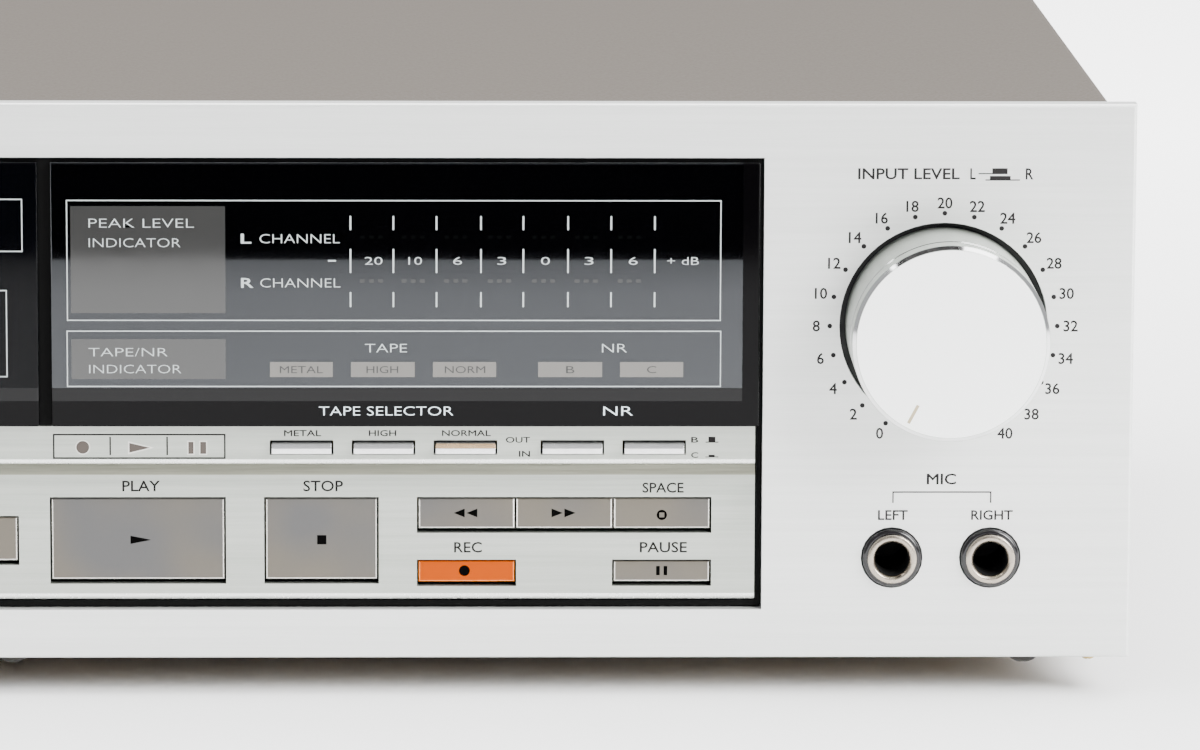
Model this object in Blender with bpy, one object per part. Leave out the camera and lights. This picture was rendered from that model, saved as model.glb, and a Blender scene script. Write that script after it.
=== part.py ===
"""A full-width cassette deck that loads from the front, in metres with +Z up.

X runs across the deck and Y from its front to its back. The origin lies on the table under the
middle of the deck. Shapes are drawn with their depth counted from the panel's front face.
"""

import math

import bmesh
import bpy
from mathutils import Matrix, Vector

# Clearances, the overlap of shapes that are united, and the overrun of every cut
SEAT_GAP = 0.0003
SLIDE_GAP = 0.0003
BUTTON_GAP = 0.0004
TURN_GAP = 0.0003
WELD = 0.0004
CUT_OVERRUN = 0.002

# Whole deck
PANEL_HEIGHT = 0.1085
PANEL_RISE = 0.0075
CASE_DEPTH = 0.2692

# Front panel, with the places of what comes through it
PANEL_THICKNESS = 0.0044
PANEL_BEVEL = 0.0006
SIDE_FIELD_WIDTH = 0.0717
RECESS_LOW_MARGIN = 0.00955
RECESS_TOP_MARGIN = 0.01045
CONTROL_OFFSET = -0.00105
KNOB_RISE = 0.06534
JACK_RISE = 0.0198
MIC_PITCH = 0.0191
POWER_RISE = 0.0805

# Black frame that lines the recess, by its depths and the widths of its ledges
FRAME_SETBACK = 0.0034
FRAME_THICKNESS = 0.0043
FRAME_FLANGE_SPREAD = 0.0035
RIM_SETBACK = 0.0025
SURROUND_SETBACK = 0.0009
LOWER_OPENING_RISE = 0.0052
OPENING_RIB = 0.0013
POST_RADIUS = 0.0018
POST_LENGTH = 0.005
POST_RISE = 0.0112

# Display window and cassette door glass
WINDOW_PROUD = 0.0012
WINDOW_THICKNESS = 0.0018
WINDOW_MARGIN = 0.0008
WINDOW_REST = 0.0035
WINDOW_PARTING = 0.0024
DOOR_WIDTH = 0.1511
DOOR_REST = 0.003
DOOR_TOP_REST = 0.00155

# Display board with the two rows of the level meter
DISPLAY_BOARD_INSET = 0.0015
BOARD_THICKNESS = 0.0016
METER_MARGIN = 0.0555
METER_WIDTH = 0.062
METER_DROP = 0.01455
METER_PITCH = 0.0086
METER_BAR_HEIGHT = 0.0019
METER_BAR_SETBACK = 0.003

# Control strip
STRIP_SIDE_MARGIN = 0.0014
STRIP_LOW_MARGIN = 0.00175
STRIP_HEIGHT = 0.0342
STRIP_FACE_SETBACK = 0.0009
STRIP_UPPER_SETBACK = 0.0013
STRIP_REAR_SETBACK = 0.0031
GROOVE_SETBACK = 0.0019
GROOVE_DROP = 0.00755
GROOVE_HEIGHT = 0.00195
STRIP_ROUNDING = 0.0005

# Transport keys
KEY_SETBACK = 0.0013
KEY_BEVEL = 0.0003
KEY_LOW_GAP = 0.0008
KEY_FLANGE_SPREAD = 0.0011
KEY_FLANGE_THICKNESS = 0.0016
KEY_TRAVEL = 0.0015
KEY_RIGHT_MARGIN = 0.0087
KEY_TRIPLE_WIDTH = 0.0565
KEY_RIB = 0.008
STOP_KEY_WIDTH = 0.0216
PLAY_KEY_WIDTH = 0.03345
EJECT_KEY_RIB = 0.0066
EJECT_KEY_WIDTH = 0.0145
EJECT_KEY_HEIGHT = 0.00855
EJECT_KEY_FOOT_RISE = 0.00775
KEY_FOOT_RISE = 0.00405
TALL_KEY_HEIGHT = 0.01595
SHORT_KEY_HEIGHT = 0.00595
LOW_KEY_FOOT_RISE = 0.00355
LOW_KEY_HEIGHT = 0.0041

# Selector buttons
SELECTOR_WIDTH = 0.0115
SELECTOR_HEIGHT = 0.002
SELECTOR_PITCH = 0.01585
SELECTOR_GROUP_PITCH = 0.0207
SELECTOR_RIGHT_MARGIN = 0.0138
SELECTOR_DROP = 0.0042
SELECTOR_PROUD = 0.0018
SELECTOR_BEVEL = 0.0002
SELECTOR_FLANGE_THICKNESS = 0.0008
SELECTOR_TRAVEL = 0.0024

# Switch board behind the strip
SWITCH_BOARD_INSET = 0.001
SWITCH_HEAD_WIDTH = 0.0036

# Power button and switch
POWER_BUTTON_WIDTH = 0.02
POWER_BUTTON_HEIGHT = 0.009
POWER_BUTTON_PROUD = 0.0035
POWER_BUTTON_BEVEL = 0.0006
POWER_FLANGE_SPREAD = 0.0012
POWER_FLANGE_THICKNESS = 0.0023
POWER_TRAVEL = 0.004
POWER_SWITCH_WIDTH = 0.029
POWER_SWITCH_HEIGHT = 0.014
POWER_SWITCH_DEPTH = 0.019
POWER_EAR_THICKNESS = 0.0015
POWER_EAR_HEIGHT = 0.01

# Level knob in two parts, with its shafts and its control
KNOB_RADIUS = 0.0189
KNOB_PROJECTION = 0.0222
KNOB_FRONT_THICKNESS = 0.0055
KNOB_BEVEL = 0.0005
KNOB_WELL_GAP = 0.00125
KNOB_SINK = 0.0025
OUTER_SHAFT_RADIUS = 0.003
OUTER_SHAFT_RECESS = 0.0005
INNER_SHAFT_RADIUS = 0.00175
INNER_SHAFT_SINK = 0.0025
CONTROL_PLATE_SIZE = 0.046
CONTROL_PLATE_THICKNESS = 0.0015
CONTROL_BODY_RADIUS = 0.012
CONTROL_BODY_REACH = 0.026
CONTROL_BORE_REACH = 0.01

# Microphone and headphone sockets
COLLAR_RADIUS = 0.00572
COLLAR_PROUD = 0.0008
NUT_RADIUS = 0.004775
NUT_PROUD = 0.0022
NUT_THICKNESS = 0.0011
NUT_BEVEL = 0.0004
NUT_SLEEVE_RADIUS = 0.0039
NUT_REACH = 0.0055
SOCKET_RADIUS = 0.0033
SOCKET_REACH = 0.026
JACK_BODY_WIDTH = 0.013
JACK_BODY_REACH = 0.028

# Sheet metal case
SHEET = 0.001
COVER_INSET = 0.00405
COVER_DROP = 0.0008
COVER_LOW_MARGIN = 0.0045
CHASSIS_RISE = 0.0005
CHASSIS_SIDE_HEIGHT = 0.03
REAR_PANEL_THICKNESS = 0.0012

# Feet
FOOT_RADIUS = 0.011
FOOT_TOE_RADIUS = 0.0102
FOOT_TOE_HEIGHT = 0.002
FOOT_INSET = 0.0436
FRONT_FOOT_DEPTH = 0.0615
REAR_FOOT_INSET = 0.0342

# Line terminals on the rear panel
TERMINAL_X = -0.04
TERMINAL_RISE = 0.0525
TERMINAL_FLANGE_WIDTH = 0.05
TERMINAL_FLANGE_HEIGHT = 0.026
TERMINAL_FLANGE_THICKNESS = 0.0025
TERMINAL_BODY_WIDTH = 0.044
TERMINAL_BODY_HEIGHT = 0.02
TERMINAL_BODY_REACH = 0.0112
TERMINAL_REACH = 0.0118
BARREL_RADIUS = 0.00415
BARREL_PITCH = 0.024
BARREL_ROW_PITCH = 0.013

# Mains inlet
INLET_SIDE_INSET = 0.0525
INLET_RISE = 0.0205
INLET_FLANGE_WIDTH = 0.028
INLET_FLANGE_HEIGHT = 0.018
INLET_FLANGE_THICKNESS = 0.002
INLET_BODY_WIDTH = 0.022
INLET_BODY_HEIGHT = 0.013
INLET_BODY_REACH = 0.0132
INLET_CAVITY_WIDTH = 0.0164
INLET_CAVITY_HEIGHT = 0.0086
INLET_CAVITY_DEPTH = 0.0105
INLET_PIN_RADIUS = 0.0012
INLET_PIN_PITCH = 0.0086
INLET_PIN_SINK = 0.0015

# Power transformer
TRANSFORMER_SIDE_MARGIN = 0.02415
TRANSFORMER_REAR_MARGIN = 0.0337
CORE_WIDTH = 0.062
CORE_THICKNESS = 0.03
CORE_HEIGHT = 0.05
WINDING_WIDTH = 0.04
WINDING_THICKNESS = 0.044
WINDING_HEIGHT = 0.034

# Main board on its bosses
MAIN_BOARD_LEFT = -0.06
MAIN_BOARD_SIDE_GAP = 0.01
MAIN_BOARD_DEPTH = 0.08
MAIN_BOARD_REAR_GAP = 0.013
BOSS_HEIGHT = 0.0067
BOSS_WIDTH = 0.008
BOSS_INSET = 0.01
CAPACITOR_RADIUS = 0.008
CAPACITOR_HEIGHT = 0.028
CAPACITOR_PITCH = 0.022
COIL_WIDTH = 0.012
COIL_HEIGHT = 0.014
HEAT_SINK_LENGTH = 0.05
HEAT_SINK_THICKNESS = 0.003
HEAT_SINK_HEIGHT = 0.035

# Cassette and the door that carries it
CASSETTE_WIDTH = 0.1004
CASSETTE_SIDE_GAP = 0.0005
CASSETTE_RISE = 0.0184
HUB_RISE = 0.0348
HUB_PITCH = 0.0425
CARRIER_INSET = 0.001
CARRIER_TOP_INSET = 0.0012
CARRIER_LOW_MARGIN = 0.0036
CARRIER_PLATE_THICKNESS = 0.002
CARRIER_WINDOW_INSET = 0.0032
CARRIER_WINDOW_LOW_SILL = 0.0044
CARRIER_WINDOW_TOP_RAIL = 0.005
CARRIER_WALL = 0.0015
CARRIER_REAR_GAP = 0.0006
CARRIER_WALL_DROP = 0.0015
CARRIER_NECK_REAR = 0.0129
CARRIER_KNUCKLE_WIDTH = 0.0085
CARRIER_KNUCKLE_HEIGHT = 0.0075
SHELF_WIDTH = 0.008
SHELF_ARM_GAP = 0.0006
SHELF_THICKNESS = 0.0019
SHELF_FRONT = 0.011
HINGE_DEPTH = 0.01
HINGE_RISE = 0.0112
HINGE_ROD_RADIUS = 0.0015
HINGE_EAR_THICKNESS = 0.0015
HINGE_EAR_FRONT = 0.0068
HINGE_EAR_HEIGHT = 0.008
EAR_SIDE_GAP = 0.0008

# Tape mechanism
MECHANISM_SIDE_SET = 0.0025
MECHANISM_SHEET = 0.0015
MECHANISM_FRONT = 0.022
MECHANISM_RISE = 0.0032
MECHANISM_TOP_INSET = 0.0032
MECHANISM_FLANGE_RISE = 0.036
SPINDLE_TABLE_RADIUS = 0.011
SPINDLE_TABLE_THICKNESS = 0.003
SPINDLE_HUB_RADIUS = 0.004
SPINDLE_REACH = 0.0085
FLYWHEEL_RADIUS = 0.0275
FLYWHEEL_GAP = 0.0012
FLYWHEEL_THICKNESS = 0.008
CAPSTAN_RISE = 0.0269
CAPSTAN_RADIUS = 0.00125
CAPSTAN_REACH = 0.01
BRACKET_GAP = 0.008
BRACKET_THICKNESS = 0.0012
BRACKET_MOTOR_MARGIN = 0.004
BRACKET_WHEEL_MARGIN = 0.0107
BRACKET_LOW_INSET = 0.012
BRACKET_TOP_INSET = 0.014
PILLAR_RADIUS = 0.0025
PILLAR_INSET = 0.004
MOTOR_RADIUS = 0.016
MOTOR_LENGTH = 0.0245
MOTOR_OFFSET = 0.04055
MOTOR_RISE = 0.0432
PULLEY_RADIUS = 0.003
PULLEY_SETBACK = 0.0005
PULLEY_THICKNESS = 0.0075
MOTOR_SHAFT_RADIUS = 0.001
BELT_SETBACK = 0.002
BELT_WIDTH = 0.003
BELT_THICKNESS = 0.001

# Head bridge with its head and its solenoid
BRIDGE_LEFT_REACH = 0.03455
BRIDGE_RIGHT_REACH = 0.01245
BRIDGE_RISE = 0.0064
BRIDGE_HEIGHT = 0.0078
BRIDGE_SHEET = 0.0015
BRIDGE_ROD_GAP = 0.0005
BRIDGE_SHELF_THICKNESS = 0.0014
PLUNGER_RADIUS = 0.002
PLUNGER_SET = 0.0066
PLUNGER_REACH = 0.0112
HEAD_WIDTH = 0.012
HEAD_HEIGHT = 0.009
HEAD_GAP = 0.0004
HEAD_SETBACK = 0.0003
HEAD_BEVEL = 0.001
SOLENOID_WIDTH = 0.021
SOLENOID_THICKNESS = 0.011
SOLENOID_TOP_GAP = 0.0007
SOLENOID_BORE_FLOOR = 0.003
PINCH_RISE = 0.01435
PINCH_ARM_WIDTH = 0.0052
PIVOT_RADIUS = 0.0015
AXLE_RADIUS = 0.0012
AXLE_PROUD = 0.0004
ROLLER_RADIUS = 0.0065
ROLLER_GAP = 0.001
ROLLER_WIDTH = 0.006

# Counts and angles of turned shapes
COARSE_STEPS = 16
FINE_STEPS = 24
KNOB_STEPS = 64
SMOOTH_ANGLE = math.radians(35)
ROUND_PROFILE = 0.5

# Places that follow from the sizes. The recess is as wide as the cassette's holder and the row of keys
FRONT_Y = (KNOB_PROJECTION - CASE_DEPTH - TERMINAL_REACH) / 2
CASSETTE_HALF = CASSETTE_WIDTH / 2 + CASSETTE_SIDE_GAP
HOLDER_HALF = CASSETTE_HALF + CARRIER_WALL + TURN_GAP + HINGE_EAR_THICKNESS
EJECT_KEY_REACH = HOLDER_HALF + EAR_SIDE_GAP + OPENING_RIB + BUTTON_GAP
LARGE_KEYS_WIDTH = PLAY_KEY_WIDTH + KEY_RIB + STOP_KEY_WIDTH + KEY_RIB + KEY_TRIPLE_WIDTH
KEYS_WIDTH = EJECT_KEY_WIDTH + EJECT_KEY_RIB + LARGE_KEYS_WIDTH
RECESS_LEFT_PART = WINDOW_MARGIN + DOOR_WIDTH / 2 + EJECT_KEY_REACH
RECESS_HALF = (RECESS_LEFT_PART + KEYS_WIDTH + KEY_RIGHT_MARGIN + STRIP_SIDE_MARGIN) / 2
HALF_WIDTH = RECESS_HALF + SIDE_FIELD_WIDTH
PANEL_TOP = PANEL_RISE + PANEL_HEIGHT
BEHIND_PANEL = PANEL_THICKNESS + SEAT_GAP
RECESS_BOTTOM = PANEL_RISE + RECESS_LOW_MARGIN
RECESS_TOP = PANEL_TOP - RECESS_TOP_MARGIN
KNOB_X = RECESS_HALF + SIDE_FIELD_WIDTH / 2 + CONTROL_OFFSET
KNOB_Z = PANEL_RISE + KNOB_RISE
WELL_RADIUS = KNOB_RADIUS + KNOB_WELL_GAP
JACK_Z = PANEL_RISE + JACK_RISE
POWER_Z = PANEL_RISE + POWER_RISE
FRAME_REAR = FRAME_SETBACK + FRAME_THICKNESS
BEHIND_FRAME = FRAME_REAR + SEAT_GAP
STRIP_HALF = RECESS_HALF - STRIP_SIDE_MARGIN
STRIP_BOTTOM = RECESS_BOTTOM + STRIP_LOW_MARGIN
STRIP_TOP = STRIP_BOTTOM + STRIP_HEIGHT
WINDOW_BOTTOM = STRIP_TOP + SEAT_GAP
WINDOW_TOP = RECESS_TOP - WINDOW_MARGIN
DISPLAY_RIGHT = RECESS_HALF - WINDOW_MARGIN
DOOR_LEFT = -RECESS_HALF + WINDOW_MARGIN
DOOR_RIGHT = DOOR_LEFT + DOOR_WIDTH
DISPLAY_LEFT = DOOR_RIGHT + WINDOW_PARTING
OPENING_LEFT = DOOR_LEFT + DOOR_REST
OPENING_RIGHT = DOOR_RIGHT - DOOR_REST
OPENING_TOP = WINDOW_TOP - DOOR_TOP_REST
BOARD_FRONT = FRAME_REAR + POST_LENGTH + SEAT_GAP
CHASSIS_BOTTOM = PANEL_RISE + CHASSIS_RISE
CHASSIS_FLOOR = CHASSIS_BOTTOM + SHEET
COVER_HALF = HALF_WIDTH - COVER_INSET
COVER_TOP = PANEL_TOP - COVER_DROP
INNER_HALF = COVER_HALF - SHEET - SEAT_GAP
REAR_PANEL_FRONT = CASE_DEPTH - REAR_PANEL_THICKNESS
INLET_X = HALF_WIDTH - INLET_SIDE_INSET
TRANSFORMER_X = INNER_HALF - SHEET - TRANSFORMER_SIDE_MARGIN - CORE_WIDTH / 2
TRANSFORMER_DEPTH = CASE_DEPTH - TRANSFORMER_REAR_MARGIN - WINDING_THICKNESS / 2
MAIN_BOARD_RIGHT = TRANSFORMER_X - CORE_WIDTH / 2 - MAIN_BOARD_SIDE_GAP
MAIN_BOARD_REAR = REAR_PANEL_FRONT - MAIN_BOARD_REAR_GAP
BEHIND_CASE = CASE_DEPTH + SEAT_GAP

# The cassette stands in the middle of the door's opening, on shelves over the strip's bottom edge
CASSETTE_X = (OPENING_LEFT + OPENING_RIGHT) / 2
CASSETTE_BOTTOM = STRIP_BOTTOM + CASSETTE_RISE
HUB_Z = CASSETTE_BOTTOM + HUB_RISE
SUPPLY_X = CASSETTE_X - HUB_PITCH / 2
TAKEUP_X = CASSETTE_X + HUB_PITCH / 2
CAPSTAN_Z = STRIP_BOTTOM + CAPSTAN_RISE
HINGE_Z = STRIP_BOTTOM + HINGE_RISE
CARRIER_REAR = MECHANISM_FRONT - CARRIER_REAR_GAP
MECHANISM_REAR = MECHANISM_FRONT + MECHANISM_SHEET
BEHIND_MECHANISM = MECHANISM_REAR + SEAT_GAP
FLYWHEEL_FRONT = BEHIND_MECHANISM + SPINDLE_TABLE_THICKNESS + FLYWHEEL_GAP
BRACKET_FRONT = FLYWHEEL_FRONT + FLYWHEEL_THICKNESS + BRACKET_GAP
MOTOR_X = CASSETTE_X - MOTOR_OFFSET
MOTOR_Z = STRIP_BOTTOM + MOTOR_RISE
BRIDGE_BOTTOM = STRIP_BOTTOM + BRIDGE_RISE
BRIDGE_REAR = MECHANISM_FRONT - SEAT_GAP
BRIDGE_FRONT = BRIDGE_REAR - BRIDGE_SHEET
PLUNGER_DEPTH = BRIDGE_REAR - PLUNGER_SET
BRIDGE_SHELF_FRONT = HINGE_DEPTH + HINGE_ROD_RADIUS + BRIDGE_ROD_GAP
HEAD_FRONT = BRIDGE_SHELF_FRONT + HEAD_SETBACK
ROLLER_FRONT = BRIDGE_FRONT - ROLLER_GAP - ROLLER_WIDTH
PINCH_X = CASSETTE_X + CASSETTE_HALF - SHELF_WIDTH - SHELF_ARM_GAP - PINCH_ARM_WIDTH / 2
PINCH_Z = STRIP_BOTTOM + PINCH_RISE

TURN_TO = {
    "X": Matrix.Rotation(math.pi / 2, 4, "Y"),
    "Y": Matrix.Rotation(-math.pi / 2, 4, "X"),
    "Z": Matrix.Identity(4),
}


def clear_scene():
    for thing in list(bpy.data.objects):
        bpy.data.objects.remove(thing, do_unlink=True)


def about(middle, width):
    """The low and high end of a width about its middle."""
    return middle - width / 2, middle + width / 2


def grown(ends, by):
    return ends[0] - by, ends[1] + by


def box(across, deep, up):
    """A block between low and high ends along X, along the depth and along Z."""
    low = Vector((across[0], deep[0], up[0]))
    high = Vector((across[1], deep[1], up[1]))
    shape = bmesh.new()
    place = Matrix.Translation((low + high) / 2) @ Matrix.Diagonal((high - low).to_4d())
    bmesh.ops.create_cube(shape, size=1.0, matrix=place)
    return shape


def turned(profile, centre, axis, steps, ring=False):
    """A shape turned round an axis: the profile holds pairs of a radius and a place along the axis."""
    shape = bmesh.new()
    points = [shape.verts.new((radius, 0, along)) for radius, along in profile]
    lines = [shape.edges.new(pair) for pair in zip(points, points[1:])]
    if ring:
        lines.append(shape.edges.new((points[-1], points[0])))
    bmesh.ops.spin(
        shape, geom=points + lines, cent=(0, 0, 0), axis=(0, 0, 1), angle=2 * math.pi, steps=steps
    )
    bmesh.ops.remove_doubles(shape, verts=shape.verts, dist=WELD / 100)
    bmesh.ops.recalc_face_normals(shape, faces=shape.faces)
    bmesh.ops.transform(shape, matrix=Matrix.Translation(centre) @ TURN_TO[axis], verts=shape.verts)
    return shape


def rod(radius, ends, centre, axis="Y", steps=FINE_STEPS):
    """A plain rod between two places along its axis."""
    return turned([(0, ends[0]), (radius, ends[0]), (radius, ends[1]), (0, ends[1])], centre, axis, steps)


def tube(inner, outer, ends, centre, axis="Y", steps=FINE_STEPS):
    profile = [(inner, ends[0]), (outer, ends[0]), (outer, ends[1]), (inner, ends[1])]
    return turned(profile, centre, axis, steps, ring=True)


def prism(outline, axis, ends):
    """An outline drawn square to an axis, as pairs in the order X, depth, Z, extruded along the axis."""
    place = {
        "X": lambda a, b: (ends[0], a, b),
        "Y": lambda a, b: (a, ends[0], b),
        "Z": lambda a, b: (a, b, ends[0]),
    }[axis]
    reach = {"X": Vector((1, 0, 0)), "Y": Vector((0, 1, 0)), "Z": Vector((0, 0, 1))}[axis]
    shape = bmesh.new()
    face = shape.faces.new([shape.verts.new(place(a, b)) for a, b in outline])
    made = bmesh.ops.extrude_face_region(shape, geom=[face])["geom"]
    moved = [item for item in made if isinstance(item, bmesh.types.BMVert)]
    bmesh.ops.translate(shape, verts=moved, vec=reach * (ends[1] - ends[0]))
    bmesh.ops.recalc_face_normals(shape, faces=shape.faces)
    return shape


def together(*shapes):
    """Separate shapes as one mesh, for cuts made in one go."""
    whole = bmesh.new()
    for shape in shapes:
        mesh = bpy.data.meshes.new("shape")
        shape.to_mesh(mesh)
        shape.free()
        whole.from_mesh(mesh)
        bpy.data.meshes.remove(mesh)
    return whole


def round_edges(shape, edges, width):
    bmesh.ops.bevel(shape, geom=edges, offset=width, segments=2, affect="EDGES", profile=ROUND_PROFILE)


def soften_front(shape, width):
    """Bevels the edges of a shape's foremost face."""
    front = min(point.co.y for point in shape.verts)
    edges = [e for e in shape.edges if all(abs(v.co.y - front) < width / 10 for v in e.verts)]
    round_edges(shape, edges, width)
    return shape


def finish(name, colour, roughness, metallic=0.0):
    material = bpy.data.materials.new(name)
    material.use_nodes = True
    shader = material.node_tree.nodes["Principled BSDF"]
    shader.inputs["Base Color"].default_value = (*colour, 1.0)
    shader.inputs["Roughness"].default_value = roughness
    shader.inputs["Metallic"].default_value = metallic
    return material


def aluminium(name):
    return finish(name + "_aluminium", (0.74, 0.74, 0.72), 0.35, 1.0)


def dark_plastic(name):
    return finish(name + "_dark_plastic", (0.012, 0.012, 0.012), 0.5)


def steel(name):
    return finish(name + "_steel", (0.5, 0.5, 0.49), 0.4, 1.0)


def mesh_of(name, shape, pivot):
    mesh = bpy.data.meshes.new(name)
    shape.to_mesh(mesh)
    shape.free()
    mesh.transform(Matrix.Translation(-pivot))
    return mesh


def piece(name, shape, material, pivot=(0, 0, 0)):
    """One named object with its origin at the pivot, which lies on its joint's axis if it moves."""
    pivot = Vector(pivot)
    made = bpy.data.objects.new(name, mesh_of(name, shape, pivot))
    made.data.materials.append(material)
    made.data.shade_smooth()
    made.data.set_sharp_from_angle(angle=SMOOTH_ANGLE)
    made.location = pivot + Vector((0, FRONT_Y, 0))
    bpy.context.scene.collection.objects.link(made)
    return made


def combine(owner, shape, operation):
    pivot = owner.location - Vector((0, FRONT_Y, 0))
    name = owner.name + "_" + operation.lower()
    tool = bpy.data.objects.new(name, mesh_of(name, shape, pivot))
    bpy.context.scene.collection.objects.link(tool)
    tool.parent = owner
    tool.hide_render = True
    tool.display_type = "WIRE"
    step = owner.modifiers.new(operation.lower(), "BOOLEAN")
    step.operation = operation
    step.object = tool


def add(owner, *shapes):
    for shape in shapes:
        combine(owner, shape, "UNION")


def cut(owner, *shapes):
    combine(owner, together(*shapes), "DIFFERENCE")


def arc(centre, radius, start, end, count):
    """Points along an arc, from one angle in degrees to another."""
    angles = [math.radians(start + (end - start) * step / count) for step in range(count + 1)]
    return [(centre[0] + radius * math.cos(a), centre[1] + radius * math.sin(a)) for a in angles]


def key_places():
    """Each key's ends across and up: a row that starts beside the cassette's holder."""
    eject_left = CASSETTE_X + EJECT_KEY_REACH
    play_left = eject_left + EJECT_KEY_WIDTH + EJECT_KEY_RIB
    stop_left = play_left + PLAY_KEY_WIDTH + KEY_RIB
    triple_left = stop_left + STOP_KEY_WIDTH + KEY_RIB
    triple_right = triple_left + KEY_TRIPLE_WIDTH
    width = (KEY_TRIPLE_WIDTH - 2 * SLIDE_GAP) / 3
    foot = STRIP_BOTTOM + KEY_FOOT_RISE
    low_foot = STRIP_BOTTOM + LOW_KEY_FOOT_RISE
    eject_foot = STRIP_BOTTOM + EJECT_KEY_FOOT_RISE
    tall = (foot, foot + TALL_KEY_HEIGHT)
    short = (tall[1] - SHORT_KEY_HEIGHT, tall[1])
    low = (low_foot, low_foot + LOW_KEY_HEIGHT)
    first = (triple_left, triple_left + width)
    second = about((triple_left + triple_right) / 2, width)
    third = (triple_right - width, triple_right)
    return {
        "play_key": ((play_left, play_left + PLAY_KEY_WIDTH), tall),
        "stop_key": ((stop_left, stop_left + STOP_KEY_WIDTH), tall),
        "rewind_key": (first, short),
        "fast_forward_key": (second, short),
        "space_key": (third, short),
        "record_key": (first, low),
        "pause_key": (third, low),
        "eject_key": (
            (eject_left, eject_left + EJECT_KEY_WIDTH),
            (eject_foot, eject_foot + EJECT_KEY_HEIGHT),
        ),
    }


def key_windows(side_gap, low_gap):
    """The openings for the keys: the three short keys in a row share one."""
    keys = key_places()
    rewind, space = keys.pop("rewind_key"), keys.pop("space_key")
    keys.pop("fast_forward_key")
    keys["row"] = ((rewind[0][0], space[0][1]), rewind[1])
    return [(grown(across, side_gap), (up[0] - low_gap, up[1] + side_gap)) for across, up in keys.values()]


def selector_places():
    type_left = STRIP_HALF - SELECTOR_RIGHT_MARGIN - SELECTOR_WIDTH
    switch_left = type_left - SELECTOR_PITCH
    normal_left = switch_left - SELECTOR_GROUP_PITCH
    lefts = {
        "metal_button": normal_left - 2 * SELECTOR_PITCH,
        "high_button": normal_left - SELECTOR_PITCH,
        "normal_button": normal_left,
        "nr_switch_button": switch_left,
        "nr_type_button": type_left,
    }
    up = about(STRIP_TOP - SELECTOR_DROP, SELECTOR_HEIGHT)
    return {name: ((left, left + SELECTOR_WIDTH), up) for name, left in lefts.items()}


def socket_places():
    return {
        "mic_left": KNOB_X - MIC_PITCH / 2,
        "mic_right": KNOB_X + MIC_PITCH / 2,
        "phones": -KNOB_X,
    }


def make_front_panel():
    slab = box((-HALF_WIDTH, HALF_WIDTH), (0, PANEL_THICKNESS), (PANEL_RISE, PANEL_TOP))
    panel = piece("front_panel", soften_front(slab, PANEL_BEVEL), aluminium("panel"))
    through = (-CUT_OVERRUN, PANEL_THICKNESS + CUT_OVERRUN)
    power_across = grown(about(-KNOB_X, POWER_BUTTON_WIDTH), SLIDE_GAP)
    power_up = grown(about(POWER_Z, POWER_BUTTON_HEIGHT), SLIDE_GAP)
    cut(
        panel,
        box((-RECESS_HALF, RECESS_HALF), through, (RECESS_BOTTOM, RECESS_TOP)),
        rod(WELL_RADIUS, through, (KNOB_X, 0, KNOB_Z), steps=KNOB_STEPS),
        box(power_across, through, power_up),
        *[rod(COLLAR_RADIUS + SEAT_GAP, through, (x, 0, JACK_Z)) for x in socket_places().values()],
    )


def make_recess_frame():
    half = RECESS_HALF - SEAT_GAP
    up = (RECESS_BOTTOM + SEAT_GAP, RECESS_TOP - SEAT_GAP)
    frame = piece("recess_frame", box((-half, half), (RIM_SETBACK, FRAME_REAR), up), dark_plastic("frame"))
    flange = RECESS_HALF + FRAME_FLANGE_SPREAD
    flange_up = (RECESS_BOTTOM - FRAME_FLANGE_SPREAD, RECESS_TOP + FRAME_FLANGE_SPREAD)
    add(
        frame,
        box((-flange, flange), (BEHIND_PANEL, FRAME_REAR), flange_up),
        box((-half, half), (SURROUND_SETBACK, RIM_SETBACK + WELD), (WINDOW_BOTTOM, up[1])),
    )
    pocket_half = STRIP_HALF + SEAT_GAP
    cut(
        frame,
        box(
            (-pocket_half, pocket_half),
            (SURROUND_SETBACK - CUT_OVERRUN, FRAME_SETBACK),
            (STRIP_BOTTOM - SEAT_GAP, WINDOW_BOTTOM),
        ),
    )
    through = (SURROUND_SETBACK - CUT_OVERRUN, FRAME_REAR + CUT_OVERRUN)
    display_across = (DISPLAY_LEFT + WINDOW_REST, DISPLAY_RIGHT - WINDOW_REST)
    cut(
        frame,
        box(display_across, through, (WINDOW_BOTTOM + WINDOW_REST, WINDOW_TOP - WINDOW_REST)),
        *[box(across, through, up) for across, up in key_windows(BUTTON_GAP, BUTTON_GAP)],
        *[box(grown(a, BUTTON_GAP), through, grown(u, BUTTON_GAP)) for a, u in selector_places().values()],
    )
    eject_left = key_places()["eject_key"][0][0]
    lower_right = eject_left - BUTTON_GAP - OPENING_RIB
    cut(frame, box((OPENING_LEFT, OPENING_RIGHT), through, (STRIP_TOP, OPENING_TOP)))
    lower = (STRIP_BOTTOM + LOWER_OPENING_RISE, STRIP_TOP + CUT_OVERRUN)
    cut(frame, box((OPENING_LEFT + CARRIER_INSET, lower_right), through, lower))
    add(frame, together(*[post_at(x) for x in post_places()]))


def post_places():
    keys = key_places()
    order = [keys[name][0] for name in ("eject_key", "play_key", "stop_key", "rewind_key")]
    between = [(left[1] + right[0]) / 2 for left, right in zip(order, order[1:])]
    return between + [(keys["space_key"][0][1] + STRIP_HALF) / 2]


def post_at(x):
    """A round post on the back of the frame, which holds the switch board off it."""
    ends = (FRAME_REAR - WELD, FRAME_REAR + POST_LENGTH)
    return rod(POST_RADIUS, ends, (x, 0, STRIP_BOTTOM + POST_RISE), steps=COARSE_STEPS)


def window_slab(across):
    deep = (-WINDOW_PROUD, WINDOW_THICKNESS - WINDOW_PROUD)
    return soften_front(box(across, deep, (WINDOW_BOTTOM, WINDOW_TOP)), KEY_BEVEL)


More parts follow.
